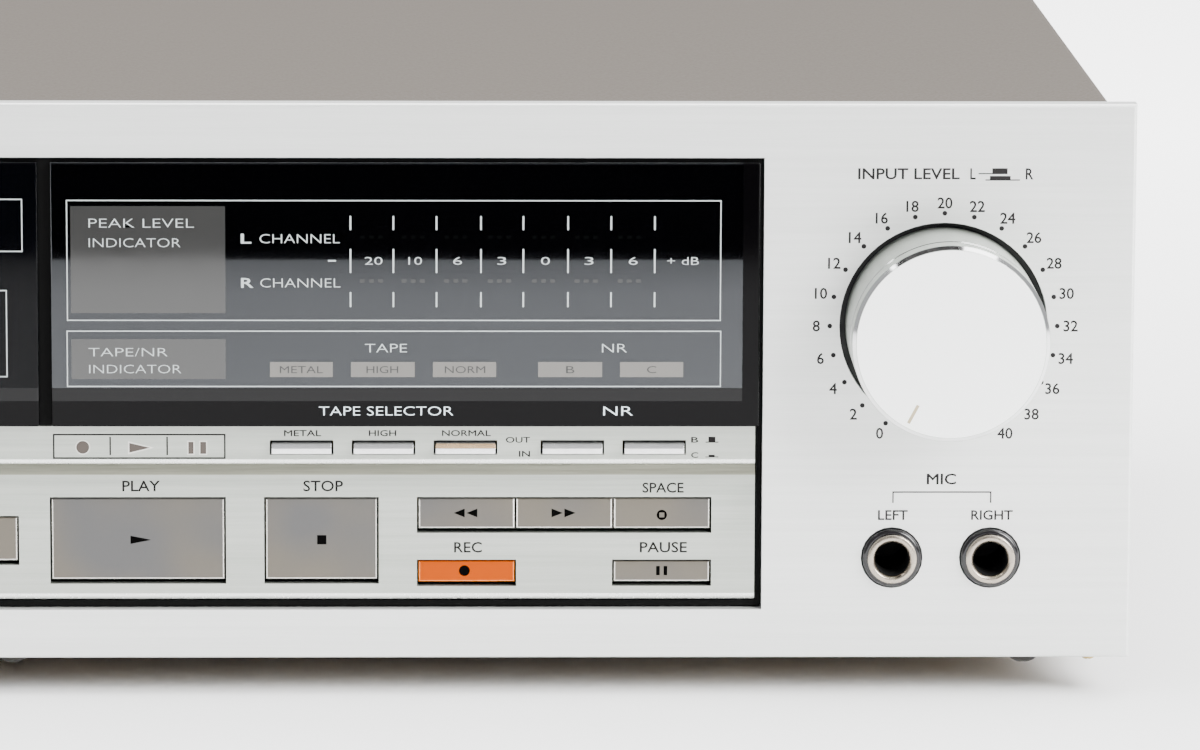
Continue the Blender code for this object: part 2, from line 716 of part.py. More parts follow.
def make_display():
    glass = finish("display_glass", (0.02, 0.018, 0.017), 0.08)
    piece("display_window", window_slab((DISPLAY_LEFT, DISPLAY_RIGHT)), glass)
    across = (DISPLAY_LEFT + DISPLAY_BOARD_INSET, DISPLAY_RIGHT - DISPLAY_BOARD_INSET)
    up = (WINDOW_BOTTOM + DISPLAY_BOARD_INSET, WINDOW_TOP - DISPLAY_BOARD_INSET)
    deep = (BEHIND_FRAME, BEHIND_FRAME + BOARD_THICKNESS)
    resin = finish("display_board_resin", (0.05, 0.09, 0.04), 0.6)
    board = piece("display_board", box(across, deep, up), resin)
    bar_left = DISPLAY_LEFT + METER_MARGIN
    rows = [WINDOW_TOP - METER_DROP, WINDOW_TOP - METER_DROP - METER_PITCH]
    bar_deep = (METER_BAR_SETBACK, BEHIND_FRAME + WELD)
    bars = [box((bar_left, bar_left + METER_WIDTH), bar_deep, about(z, METER_BAR_HEIGHT)) for z in rows]
    add(board, together(*bars))


def make_control_strip():
    groove_top = STRIP_TOP - GROOVE_DROP
    groove_bottom = groove_top - GROOVE_HEIGHT
    upper_centre = (STRIP_UPPER_SETBACK + STRIP_ROUNDING, groove_top + STRIP_ROUNDING)
    lower_centre = (STRIP_FACE_SETBACK + STRIP_ROUNDING, STRIP_BOTTOM + STRIP_ROUNDING)
    outline = [
        (STRIP_REAR_SETBACK, STRIP_TOP),
        (STRIP_UPPER_SETBACK, STRIP_TOP),
        *arc(upper_centre, STRIP_ROUNDING, 180, 270, 3),
        (GROOVE_SETBACK, groove_top),
        (STRIP_FACE_SETBACK, groove_bottom),
        *arc(lower_centre, STRIP_ROUNDING, 180, 270, 3),
        (STRIP_REAR_SETBACK, STRIP_BOTTOM),
    ]
    strip = piece("control_strip", prism(outline, "X", (-STRIP_HALF, STRIP_HALF)), aluminium("strip"))
    through = (-CUT_OVERRUN, STRIP_REAR_SETBACK + CUT_OVERRUN)
    selectors = selector_places().values()
    cut(
        strip,
        *[box(across, through, up) for across, up in key_windows(SLIDE_GAP, KEY_LOW_GAP)],
        *[box(grown(a, BUTTON_GAP), through, grown(u, BUTTON_GAP)) for a, u in selectors],
    )


def push_shape(across, up, front, flange, spread, bevel):
    """A push button with a flange above and below, which holds it behind its opening."""
    low, high = up
    outline = [
        (front, low),
        (front, high),
        (flange[0], high),
        (flange[0], high + spread),
        (flange[1], high + spread),
        (flange[1], low - spread),
        (flange[0], low - spread),
        (flange[0], low),
    ]
    return soften_front(prism(outline, "X", across), bevel)


def make_keys():
    flange = (BEHIND_FRAME, BEHIND_FRAME + KEY_FLANGE_THICKNESS)
    for name, (across, up) in key_places().items():
        shape = push_shape(across, up, KEY_SETBACK, flange, KEY_FLANGE_SPREAD, KEY_BEVEL)
        if name == "record_key":
            material = finish("record_orange", (0.75, 0.23, 0.05), 0.4)
        else:
            material = finish(name + "_satin", (0.34, 0.32, 0.29), 0.4, 0.6)
        piece(name, shape, material, (sum(across) / 2, KEY_SETBACK, sum(up) / 2))


def make_selectors():
    front = STRIP_UPPER_SETBACK - SELECTOR_PROUD
    flange = (BEHIND_FRAME, BEHIND_FRAME + SELECTOR_FLANGE_THICKNESS)
    for name, (across, up) in selector_places().items():
        shape = push_shape(across, up, front, flange, KEY_FLANGE_SPREAD, SELECTOR_BEVEL)
        material = finish(name + "_chrome", (0.6, 0.6, 0.6), 0.25, 1.0)
        piece(name, shape, material, (sum(across) / 2, front, sum(up) / 2))


def make_switch_board():
    """Its switch heads stand clear of the flanges by the travel of what presses them."""
    eject_left = key_places()["eject_key"][0][0]
    across = (eject_left + SWITCH_BOARD_INSET, STRIP_HALF - SWITCH_BOARD_INSET)
    up = (STRIP_BOTTOM + SWITCH_BOARD_INSET, STRIP_TOP - SWITCH_BOARD_INSET)
    deep = (BOARD_FRONT, BOARD_FRONT + BOARD_THICKNESS)
    board = piece("switch_board", box(across, deep, up), finish("switch_board_resin", (0.3, 0.2, 0.08), 0.6))
    key_front = BEHIND_FRAME + KEY_FLANGE_THICKNESS + KEY_TRAVEL + SEAT_GAP
    selector_front = BEHIND_FRAME + SELECTOR_FLANGE_THICKNESS + SELECTOR_TRAVEL + SEAT_GAP
    pressed = [(place, key_front) for place in key_places().values()]
    pressed += [(place, selector_front) for place in selector_places().values()]
    heads = []
    for (key_across, key_up), front in pressed:
        width = about(sum(key_across) / 2, SWITCH_HEAD_WIDTH)
        heads.append(box(width, (front, BOARD_FRONT + WELD), about(sum(key_up) / 2, SWITCH_HEAD_WIDTH)))
    add(board, together(*heads))


def make_power_switch():
    across = about(-KNOB_X, POWER_BUTTON_WIDTH)
    up = about(POWER_Z, POWER_BUTTON_HEIGHT)
    flange = (BEHIND_PANEL, BEHIND_PANEL + POWER_FLANGE_THICKNESS)
    shape = push_shape(across, up, -POWER_BUTTON_PROUD, flange, POWER_FLANGE_SPREAD, POWER_BUTTON_BEVEL)
    piece("power_button", shape, aluminium("power_button"), (-KNOB_X, -POWER_BUTTON_PROUD, POWER_Z))
    front = flange[1] + POWER_TRAVEL + SEAT_GAP
    body_across = about(-KNOB_X, POWER_SWITCH_WIDTH)
    body = box(body_across, (front, front + POWER_SWITCH_DEPTH), about(POWER_Z, POWER_SWITCH_HEIGHT))
    switch = piece("power_switch", body, dark_plastic("power_switch"))
    ear_deep = (BEHIND_PANEL, front + WELD)
    ear_up = about(POWER_Z, POWER_EAR_HEIGHT)
    left_ear = (body_across[0], body_across[0] + POWER_EAR_THICKNESS)
    right_ear = (body_across[1] - POWER_EAR_THICKNESS, body_across[1])
    add(switch, together(box(left_ear, ear_deep, ear_up), box(right_ear, ear_deep, ear_up)))


def make_level_knob():
    axis = (KNOB_X, 0, KNOB_Z)
    split = KNOB_FRONT_THICKNESS - KNOB_PROJECTION
    front, rim = -KNOB_PROJECTION, KNOB_RADIUS - KNOB_BEVEL
    inner_bore = INNER_SHAFT_RADIUS + TURN_GAP
    outer_bore = OUTER_SHAFT_RADIUS + TURN_GAP
    disc = [
        (0, front),
        (rim, front),
        (KNOB_RADIUS, front + KNOB_BEVEL),
        (KNOB_RADIUS, split - KNOB_BEVEL),
        (rim, split),
        (inner_bore, split),
        (inner_bore, split - INNER_SHAFT_SINK),
        (0, split - INNER_SHAFT_SINK),
    ]
    piece("level_knob_front", turned(disc, axis, "Y", KNOB_STEPS), aluminium("knob_front"), axis)
    ring_front = split + TURN_GAP
    ring = [
        (outer_bore, ring_front),
        (rim, ring_front),
        (KNOB_RADIUS, ring_front + KNOB_BEVEL),
        (KNOB_RADIUS, KNOB_SINK),
        (outer_bore, KNOB_SINK),
    ]
    piece("level_knob_rear", turned(ring, axis, "Y", KNOB_STEPS, ring=True), aluminium("knob_rear"), axis)
    inner_ends = (split - INNER_SHAFT_SINK + SEAT_GAP, CONTROL_BORE_REACH - SEAT_GAP)
    piece("level_shaft_inner", rod(INNER_SHAFT_RADIUS, inner_ends, axis), steel("inner_shaft"), axis)
    outer_ends = (ring_front + OUTER_SHAFT_RECESS, CONTROL_BORE_REACH - SEAT_GAP)
    outer = tube(inner_bore, OUTER_SHAFT_RADIUS, outer_ends, axis)
    piece("level_shaft_outer", outer, steel("outer_shaft"), axis)
    plate_deep = (BEHIND_PANEL, BEHIND_PANEL + CONTROL_PLATE_THICKNESS)
    plate = box(about(KNOB_X, CONTROL_PLATE_SIZE), plate_deep, about(KNOB_Z, CONTROL_PLATE_SIZE))
    control = piece("level_control", plate, steel("level_control"))
    add(control, rod(CONTROL_BODY_RADIUS, (BEHIND_PANEL + WELD, CONTROL_BODY_REACH), axis))
    cut(control, rod(outer_bore, (-CUT_OVERRUN, CONTROL_BORE_REACH), axis))


def make_sockets():
    for name, x in socket_places().items():
        axis = (x, 0, JACK_Z)
        body_deep = (BEHIND_PANEL, JACK_BODY_REACH)
        body = box(about(x, JACK_BODY_WIDTH), body_deep, about(JACK_Z, JACK_BODY_WIDTH))
        jack = piece(name + "_jack", body, dark_plastic(name + "_jack"))
        add(jack, rod(COLLAR_RADIUS, (-COLLAR_PROUD, BEHIND_PANEL + WELD), axis))
        counterbore = NUT_SLEEVE_RADIUS + TURN_GAP
        stepped = [
            (0, -COLLAR_PROUD - CUT_OVERRUN),
            (counterbore, -COLLAR_PROUD - CUT_OVERRUN),
            (counterbore, NUT_REACH + SEAT_GAP),
            (SOCKET_RADIUS, NUT_REACH + SEAT_GAP),
            (SOCKET_RADIUS, SOCKET_REACH),
            (0, SOCKET_REACH),
        ]
        cut(jack, turned(stepped, axis, "Y", FINE_STEPS))
        nut = [
            (SOCKET_RADIUS, NUT_BEVEL - NUT_PROUD),
            (SOCKET_RADIUS + NUT_BEVEL, -NUT_PROUD),
            (NUT_RADIUS - NUT_BEVEL, -NUT_PROUD),
            (NUT_RADIUS, NUT_BEVEL - NUT_PROUD),
            (NUT_RADIUS, NUT_THICKNESS - NUT_PROUD),
            (NUT_SLEEVE_RADIUS, NUT_THICKNESS - NUT_PROUD),
            (NUT_SLEEVE_RADIUS, NUT_REACH),
            (SOCKET_RADIUS, NUT_REACH),
        ]
        nickel = finish(name + "_nickel", (0.72, 0.7, 0.66), 0.2, 1.0)
        piece(name + "_nut", turned(nut, axis, "Y", FINE_STEPS, ring=True), nickel)


def make_cover():
    """A sheet bent to a U, open below, over both sides of the chassis."""
    low = PANEL_RISE + COVER_LOW_MARGIN
    deep = (BEHIND_PANEL, CASE_DEPTH)
    outline = [
        (-COVER_HALF, low),
        (-COVER_HALF, COVER_TOP),
        (COVER_HALF, COVER_TOP),
        (COVER_HALF, low),
        (COVER_HALF - SHEET, low),
        (COVER_HALF - SHEET, COVER_TOP - SHEET),
        (SHEET - COVER_HALF, COVER_TOP - SHEET),
        (SHEET - COVER_HALF, low),
    ]
    piece("top_cover", prism(outline, "Y", deep), finish("cover_paint", (0.4, 0.37, 0.34), 0.45))


def make_chassis():
    """A pan with turned-up sides and front edge, and pressed bosses under the main board."""
    side_top = CHASSIS_BOTTOM + CHASSIS_SIDE_HEIGHT
    outline = [
        (-INNER_HALF, CHASSIS_BOTTOM),
        (-INNER_HALF, side_top),
        (SHEET - INNER_HALF, side_top),
        (SHEET - INNER_HALF, CHASSIS_FLOOR),
        (INNER_HALF - SHEET, CHASSIS_FLOOR),
        (INNER_HALF - SHEET, side_top),
        (INNER_HALF, side_top),
        (INNER_HALF, CHASSIS_BOTTOM),
    ]
    deep = (BEHIND_PANEL, REAR_PANEL_FRONT - SEAT_GAP)
    chassis = piece("chassis", prism(outline, "Y", deep), steel("chassis"))
    edge_top = RECESS_BOTTOM - FRAME_FLANGE_SPREAD - SEAT_GAP
    edge_half = INNER_HALF - SHEET / 2
    edge_deep = (BEHIND_PANEL, BEHIND_PANEL + SHEET)
    edge = box((-edge_half, edge_half), edge_deep, (CHASSIS_BOTTOM + SHEET / 2, edge_top))
    across, depths = main_board_corners()
    add(chassis, edge, together(*[boss_at(x, depth) for x in across for depth in depths]))


def main_board_corners():
    across = grown((MAIN_BOARD_LEFT, MAIN_BOARD_RIGHT), -BOSS_INSET)
    return across, grown((MAIN_BOARD_DEPTH, MAIN_BOARD_REAR), -BOSS_INSET)


def boss_at(x, depth):
    up = (CHASSIS_BOTTOM + SHEET / 2, CHASSIS_FLOOR + BOSS_HEIGHT)
    return box(about(x, BOSS_WIDTH), about(depth, BOSS_WIDTH), up)


def make_rear_panel():
    up = (CHASSIS_BOTTOM + SEAT_GAP, COVER_TOP - SHEET - SEAT_GAP)
    plate = box((-INNER_HALF, INNER_HALF), (REAR_PANEL_FRONT, CASE_DEPTH), up)
    panel = piece("rear_panel", plate, steel("rear_panel"))
    through = (REAR_PANEL_FRONT - CUT_OVERRUN, CASE_DEPTH + CUT_OVERRUN)
    terminal_z = PANEL_RISE + TERMINAL_RISE
    inlet_z = PANEL_RISE + INLET_RISE
    terminal_hole = (about(TERMINAL_X, TERMINAL_BODY_WIDTH), about(terminal_z, TERMINAL_BODY_HEIGHT))
    inlet_hole = (about(INLET_X, INLET_BODY_WIDTH), about(inlet_z, INLET_BODY_HEIGHT))
    holes = [box(grown(a, SEAT_GAP), through, grown(u, SEAT_GAP)) for a, u in (terminal_hole, inlet_hole)]
    cut(panel, *holes)


def make_line_terminals():
    z = PANEL_RISE + TERMINAL_RISE
    flange = (BEHIND_CASE, BEHIND_CASE + TERMINAL_FLANGE_THICKNESS)
    plate = box(about(TERMINAL_X, TERMINAL_FLANGE_WIDTH), flange, about(z, TERMINAL_FLANGE_HEIGHT))
    block = piece("line_terminal_block", plate, dark_plastic("terminal"))
    body_deep = (CASE_DEPTH - TERMINAL_BODY_REACH, BEHIND_CASE + WELD)
    add(block, box(about(TERMINAL_X, TERMINAL_BODY_WIDTH), body_deep, about(z, TERMINAL_BODY_HEIGHT)))
    ends = (flange[1] - WELD, CASE_DEPTH + TERMINAL_REACH)
    places = [(x, up) for x in about(TERMINAL_X, BARREL_PITCH) for up in about(z, BARREL_ROW_PITCH)]
    add(block, together(*[rod(BARREL_RADIUS, ends, (x, 0, up)) for x, up in places]))


def make_mains_inlet():
    z = PANEL_RISE + INLET_RISE
    rear = BEHIND_CASE + INLET_FLANGE_THICKNESS
    flange = box(about(INLET_X, INLET_FLANGE_WIDTH), (BEHIND_CASE, rear), about(z, INLET_FLANGE_HEIGHT))
    inlet = piece("mains_inlet", flange, dark_plastic("inlet"))
    body_deep = (CASE_DEPTH - INLET_BODY_REACH, BEHIND_CASE + WELD)
    add(inlet, box(about(INLET_X, INLET_BODY_WIDTH), body_deep, about(z, INLET_BODY_HEIGHT)))
    half = INLET_CAVITY_HEIGHT / 2
    side = (INLET_CAVITY_WIDTH - INLET_CAVITY_HEIGHT) / 2
    outline = arc((INLET_X + side, z), half, -90, 90, COARSE_STEPS // 2)
    outline += arc((INLET_X - side, z), half, 90, 270, COARSE_STEPS // 2)
    floor = rear - INLET_CAVITY_DEPTH
    cut(inlet, prism(outline, "Y", (floor, rear + CUT_OVERRUN)))
    pins = [(x, 0, z) for x in about(INLET_X, INLET_PIN_PITCH)]
    ends = (floor - WELD, rear - INLET_PIN_SINK)
    add(inlet, together(*[rod(INLET_PIN_RADIUS, ends, pin, steps=COARSE_STEPS) for pin in pins]))


def make_feet():
    top = CHASSIS_BOTTOM - SEAT_GAP
    across = {"left": FOOT_INSET - HALF_WIDTH, "right": HALF_WIDTH - FOOT_INSET}
    deep = {"front": FRONT_FOOT_DEPTH, "rear": CASE_DEPTH - REAR_FOOT_INSET}
    profile = [(0, 0), (FOOT_TOE_RADIUS, 0), (FOOT_RADIUS, FOOT_TOE_HEIGHT), (FOOT_RADIUS, top), (0, top)]
    for end, depth in deep.items():
        for side, x in across.items():
            name = "foot_" + end + "_" + side
            piece(name, turned(profile, (x, depth, 0), "Z", FINE_STEPS), dark_plastic(name))


def make_transformer():
    low = CHASSIS_FLOOR + SEAT_GAP
    core_deep = about(TRANSFORMER_DEPTH, CORE_THICKNESS)
    core = box(about(TRANSFORMER_X, CORE_WIDTH), core_deep, (low, low + CORE_HEIGHT))
    transformer = piece("power_transformer", core, steel("transformer"))
    winding_up = about(low + CORE_HEIGHT / 2, WINDING_HEIGHT)
    deep = about(TRANSFORMER_DEPTH, WINDING_THICKNESS)
    add(transformer, box(about(TRANSFORMER_X, WINDING_WIDTH), deep, winding_up))


def make_main_board():
    low = CHASSIS_FLOOR + BOSS_HEIGHT + SEAT_GAP
    top = low + BOARD_THICKNESS
    deep = (MAIN_BOARD_DEPTH, MAIN_BOARD_REAR)
    slab = box((MAIN_BOARD_LEFT, MAIN_BOARD_RIGHT), deep, (low, top))
    board = piece("main_board", slab, finish("main_board_resin", (0.3, 0.2, 0.08), 0.6))
    row = deep[1] - CAPACITOR_PITCH
    ends = (top - WELD, top + CAPACITOR_HEIGHT)
    can_places = [(MAIN_BOARD_RIGHT - n * CAPACITOR_PITCH, row, 0) for n in (1, 2)]
    cans = [rod(CAPACITOR_RADIUS, ends, place, "Z", COARSE_STEPS) for place in can_places]
    coil_up = (top - WELD, top + COIL_HEIGHT)
    middle = sum(deep) / 2
    coil_places = [about(MAIN_BOARD_LEFT + n * CAPACITOR_PITCH, COIL_WIDTH) for n in (1, 2, 3)]
    coils = [box(place, about(middle, COIL_WIDTH), coil_up) for place in coil_places]
    sink_up = (top - WELD, top + HEAT_SINK_HEIGHT)
    sink_right = MAIN_BOARD_RIGHT - CAPACITOR_PITCH
    sink_across = (sink_right - HEAT_SINK_LENGTH, sink_right)
    sink = box(sink_across, about(middle, HEAT_SINK_THICKNESS), sink_up)
    add(board, together(sink, *cans, *coils))


def carrier_walls():
    """The ends along X of the holder's two side walls, as wide apart as a cassette and its play."""
    left = CASSETTE_X - CASSETTE_HALF
    right = CASSETTE_X + CASSETTE_HALF
    return (left - CARRIER_WALL, left), (right, right + CARRIER_WALL)


def make_door():
    glass = finish("door_glass", (0.02, 0.018, 0.017), 0.08)
    hinge = (CASSETTE_X, HINGE_DEPTH, HINGE_Z)
    piece("door_window", window_slab((DOOR_LEFT, DOOR_RIGHT)), glass, hinge)
    across = (OPENING_LEFT + CARRIER_INSET, OPENING_RIGHT - CARRIER_INSET)
    front = WINDOW_THICKNESS - WINDOW_PROUD + SEAT_GAP
    rear = front + CARRIER_PLATE_THICKNESS
    low = STRIP_TOP + CARRIER_LOW_MARGIN
    high = OPENING_TOP - CARRIER_TOP_INSET
    carrier = piece("door_carrier", box(across, (front, rear), (low, high)), dark_plastic("carrier"), hinge)
    walls = carrier_walls()
    window = (walls[0][1] + CARRIER_WINDOW_INSET, walls[1][0] - CARRIER_WINDOW_INSET)
    through = (front - CUT_OVERRUN, rear + CUT_OVERRUN)
    cut(carrier, box(window, through, (low + CARRIER_WINDOW_LOW_SILL, high - CARRIER_WINDOW_TOP_RAIL)))
    neck_top = STRIP_TOP + SEAT_GAP
    wall_front = (front + rear) / 2
    outline = [
        (wall_front, high - CARRIER_WALL_DROP),
        (CARRIER_REAR, high - CARRIER_WALL_DROP),
        (CARRIER_REAR, CASSETTE_BOTTOM - SHELF_THICKNESS - SHELF_THICKNESS),
        (HINGE_DEPTH + CARRIER_KNUCKLE_WIDTH / 2, HINGE_Z - CARRIER_KNUCKLE_HEIGHT / 2),
        (HINGE_DEPTH - CARRIER_KNUCKLE_WIDTH / 2, HINGE_Z - CARRIER_KNUCKLE_HEIGHT / 2),
        (HINGE_DEPTH - CARRIER_KNUCKLE_WIDTH / 2, HINGE_Z + CARRIER_KNUCKLE_HEIGHT / 2),
        (CARRIER_NECK_REAR, neck_top),
        (CARRIER_NECK_REAR, low + WELD),
        (wall_front, low + WELD),
    ]
    add(carrier, *[prism(outline, "X", wall) for wall in walls])
    shelf_up = (CASSETTE_BOTTOM - SEAT_GAP - SHELF_THICKNESS, CASSETTE_BOTTOM - SEAT_GAP)
    left_shelf = (walls[0][1] - WELD, walls[0][1] + SHELF_WIDTH)
    right_shelf = (walls[1][0] - SHELF_WIDTH, walls[1][0] + WELD)
    shelf_deep = (SHELF_FRONT, CARRIER_REAR)
    add(carrier, *[box(shelf, shelf_deep, shelf_up) for shelf in (left_shelf, right_shelf)])
    hole_ends = (walls[0][0] - CUT_OVERRUN, walls[1][1] + CUT_OVERRUN)
    cut(carrier, rod(HINGE_ROD_RADIUS + TURN_GAP, hole_ends, (0, HINGE_DEPTH, HINGE_Z), "X", COARSE_STEPS))


def hinge_ears():
    left, right = carrier_walls()
    outer_left = left[0] - TURN_GAP
    outer_right = right[1] + TURN_GAP
    return (outer_left - HINGE_EAR_THICKNESS, outer_left), (outer_right, outer_right + HINGE_EAR_THICKNESS)


def make_mechanism_plate():
    """A pressed plate behind the cassette, with side flanges to the frame and ears for the hinge rod."""
    left = OPENING_LEFT - MECHANISM_SIDE_SET - MECHANISM_SHEET
    right = DISPLAY_LEFT - MECHANISM_SIDE_SET
    deep = (MECHANISM_FRONT, MECHANISM_REAR)
    up = (STRIP_BOTTOM + MECHANISM_RISE, OPENING_TOP - MECHANISM_TOP_INSET)
    plate = piece("mechanism_plate", box((left, right), deep, up), steel("mechanism"))
    flange_deep = (BEHIND_FRAME, MECHANISM_REAR - WELD)
    flange_up = (STRIP_BOTTOM + MECHANISM_FLANGE_RISE, up[1] - MECHANISM_SHEET)
    ear_deep = (HINGE_EAR_FRONT, MECHANISM_REAR - WELD)
    ears = [box(ear, ear_deep, about(HINGE_Z, HINGE_EAR_HEIGHT)) for ear in hinge_ears()]
    left_flange = (left, left + MECHANISM_SHEET)
    right_flange = (right - MECHANISM_SHEET, right)
    add(plate, together(*ears, *[box(side, flange_deep, flange_up) for side in (left_flange, right_flange)]))
    through = (MECHANISM_FRONT - CUT_OVERRUN, MECHANISM_REAR + CUT_OVERRUN)
    ends = (hinge_ears()[0][0] - CUT_OVERRUN, hinge_ears()[1][1] + CUT_OVERRUN)
    hub = SPINDLE_HUB_RADIUS + TURN_GAP
    cut(
        plate,
        rod(hub, through, (SUPPLY_X, 0, HUB_Z)),
        rod(hub, through, (TAKEUP_X, 0, HUB_Z)),
        rod(CAPSTAN_RADIUS + TURN_GAP, through, (TAKEUP_X, 0, CAPSTAN_Z), steps=COARSE_STEPS),
        rod(PIVOT_RADIUS + TURN_GAP, through, (PINCH_X, 0, PINCH_Z), steps=COARSE_STEPS),
        rod(HINGE_ROD_RADIUS + SEAT_GAP, ends, (0, HINGE_DEPTH, HINGE_Z), "X", COARSE_STEPS),
    )
    reach = (hinge_ears()[0][0] - SEAT_GAP, hinge_ears()[1][1] + SEAT_GAP)
    hinge_rod = rod(HINGE_ROD_RADIUS, reach, (0, HINGE_DEPTH, HINGE_Z), "X", COARSE_STEPS)
    piece("door_hinge_rod", hinge_rod, steel("hinge_rod"))
    return up


def make_spindles():
    table = (BEHIND_MECHANISM, BEHIND_MECHANISM + SPINDLE_TABLE_THICKNESS)
    front = MECHANISM_FRONT - SPINDLE_REACH
    profile = [
        (0, front),
        (SPINDLE_HUB_RADIUS, front),
        (SPINDLE_HUB_RADIUS, table[0]),
        (SPINDLE_TABLE_RADIUS, table[0]),
        (SPINDLE_TABLE_RADIUS, table[1]),
        (0, table[1]),
    ]
    for name, x in (("supply_spindle", SUPPLY_X), ("takeup_spindle", TAKEUP_X)):
        axis = (x, 0, HUB_Z)
        material = finish(name + "_plastic", (0.6, 0.6, 0.58), 0.5)
        piece(name, turned(profile, axis, "Y", FINE_STEPS), material, axis)


def make_capstan_drive(up):
    """The flywheel and its capstan, the motor and its pulley, the belt round both, and the bracket."""
    capstan = (TAKEUP_X, 0, CAPSTAN_Z)
    motor = (MOTOR_X, 0, MOTOR_Z)
    wheel_ends = (FLYWHEEL_FRONT, FLYWHEEL_FRONT + FLYWHEEL_THICKNESS)
    wheel = tube(CAPSTAN_RADIUS + SEAT_GAP, FLYWHEEL_RADIUS, wheel_ends, capstan, steps=KNOB_STEPS // 2)
    piece("flywheel", wheel, finish("flywheel_brass", (0.6, 0.45, 0.2), 0.35, 1.0), capstan)
    shaft_ends = (MECHANISM_FRONT - CAPSTAN_REACH, BRACKET_FRONT - SEAT_GAP)
    shaft = rod(CAPSTAN_RADIUS, shaft_ends, capstan, steps=COARSE_STEPS)
    piece("capstan_shaft", shaft, steel("capstan"), capstan)
    bracket_rear = BRACKET_FRONT + BRACKET_THICKNESS
    bracket_left = MOTOR_X - MOTOR_RADIUS - BRACKET_MOTOR_MARGIN
    bracket_right = TAKEUP_X + FLYWHEEL_RADIUS + BRACKET_WHEEL_MARGIN
    across = (bracket_left, bracket_right)
    bracket_up = (up[0] + BRACKET_LOW_INSET, up[1] - BRACKET_TOP_INSET)
    plate = box(across, (BRACKET_FRONT, bracket_rear), bracket_up)
    bracket = piece("flywheel_bracket", plate, steel("bracket"))
    inner = grown(across, -PILLAR_INSET)
    inner_up = grown(bracket_up, -PILLAR_INSET)
    places = [(x, z) for x in inner for z in inner_up]
    ends = (BEHIND_MECHANISM, BRACKET_FRONT + WELD)
    add(bracket, together(*[rod(PILLAR_RADIUS, ends, (x, 0, z), steps=COARSE_STEPS) for x, z in places]))
    through = (BRACKET_FRONT - CUT_OVERRUN, bracket_rear + CUT_OVERRUN)
    cut(bracket, rod(MOTOR_SHAFT_RADIUS + TURN_GAP, through, motor, steps=COARSE_STEPS))
    motor_front = bracket_rear + SEAT_GAP
    body = rod(MOTOR_RADIUS, (motor_front, motor_front + MOTOR_LENGTH), motor)
    piece("capstan_motor", body, steel("motor"))
    pulley_front = FLYWHEEL_FRONT + PULLEY_SETBACK
    pulley_rear = pulley_front + PULLEY_THICKNESS
    profile = [
        (0, pulley_front),
        (PULLEY_RADIUS, pulley_front),
        (PULLEY_RADIUS, pulley_rear),
        (MOTOR_SHAFT_RADIUS, pulley_rear),
        (MOTOR_SHAFT_RADIUS, motor_front - SEAT_GAP),
        (0, motor_front - SEAT_GAP),
    ]
    brass = finish("pulley_brass", (0.6, 0.45, 0.2), 0.35, 1.0)
    piece("motor_pulley", turned(profile, motor, "Y", FINE_STEPS), brass, motor)
    belt_front = FLYWHEEL_FRONT + BELT_SETBACK
    belt_ends = (belt_front, belt_front + BELT_WIDTH)
    wheels = [
        (TAKEUP_X, CAPSTAN_Z, FLYWHEEL_RADIUS + SEAT_GAP),
        (MOTOR_X, MOTOR_Z, PULLEY_RADIUS + SEAT_GAP),
    ]
    outer = belt_outline([(x, z, radius + BELT_THICKNESS) for x, z, radius in wheels])
    belt = piece("drive_belt", prism(outer, "Y", belt_ends), dark_plastic("belt"))
    cut(belt, prism(belt_outline(wheels), "Y", grown(belt_ends, CUT_OVERRUN)))


def belt_outline(wheels):
    """A closed line round a large wheel and a small one, straight along their two common tangents."""
    (x, z, large), (far_x, far_z, small) = wheels
    toward = math.degrees(math.atan2(far_z - z, far_x - x))
    lean = math.degrees(math.acos((large - small) / math.hypot(far_x - x, far_z - z)))
    round_large = arc((x, z), large, toward + lean, toward + 360 - lean, FINE_STEPS)
    return round_large + arc((far_x, far_z), small, toward - lean, toward + lean, COARSE_STEPS // 2)


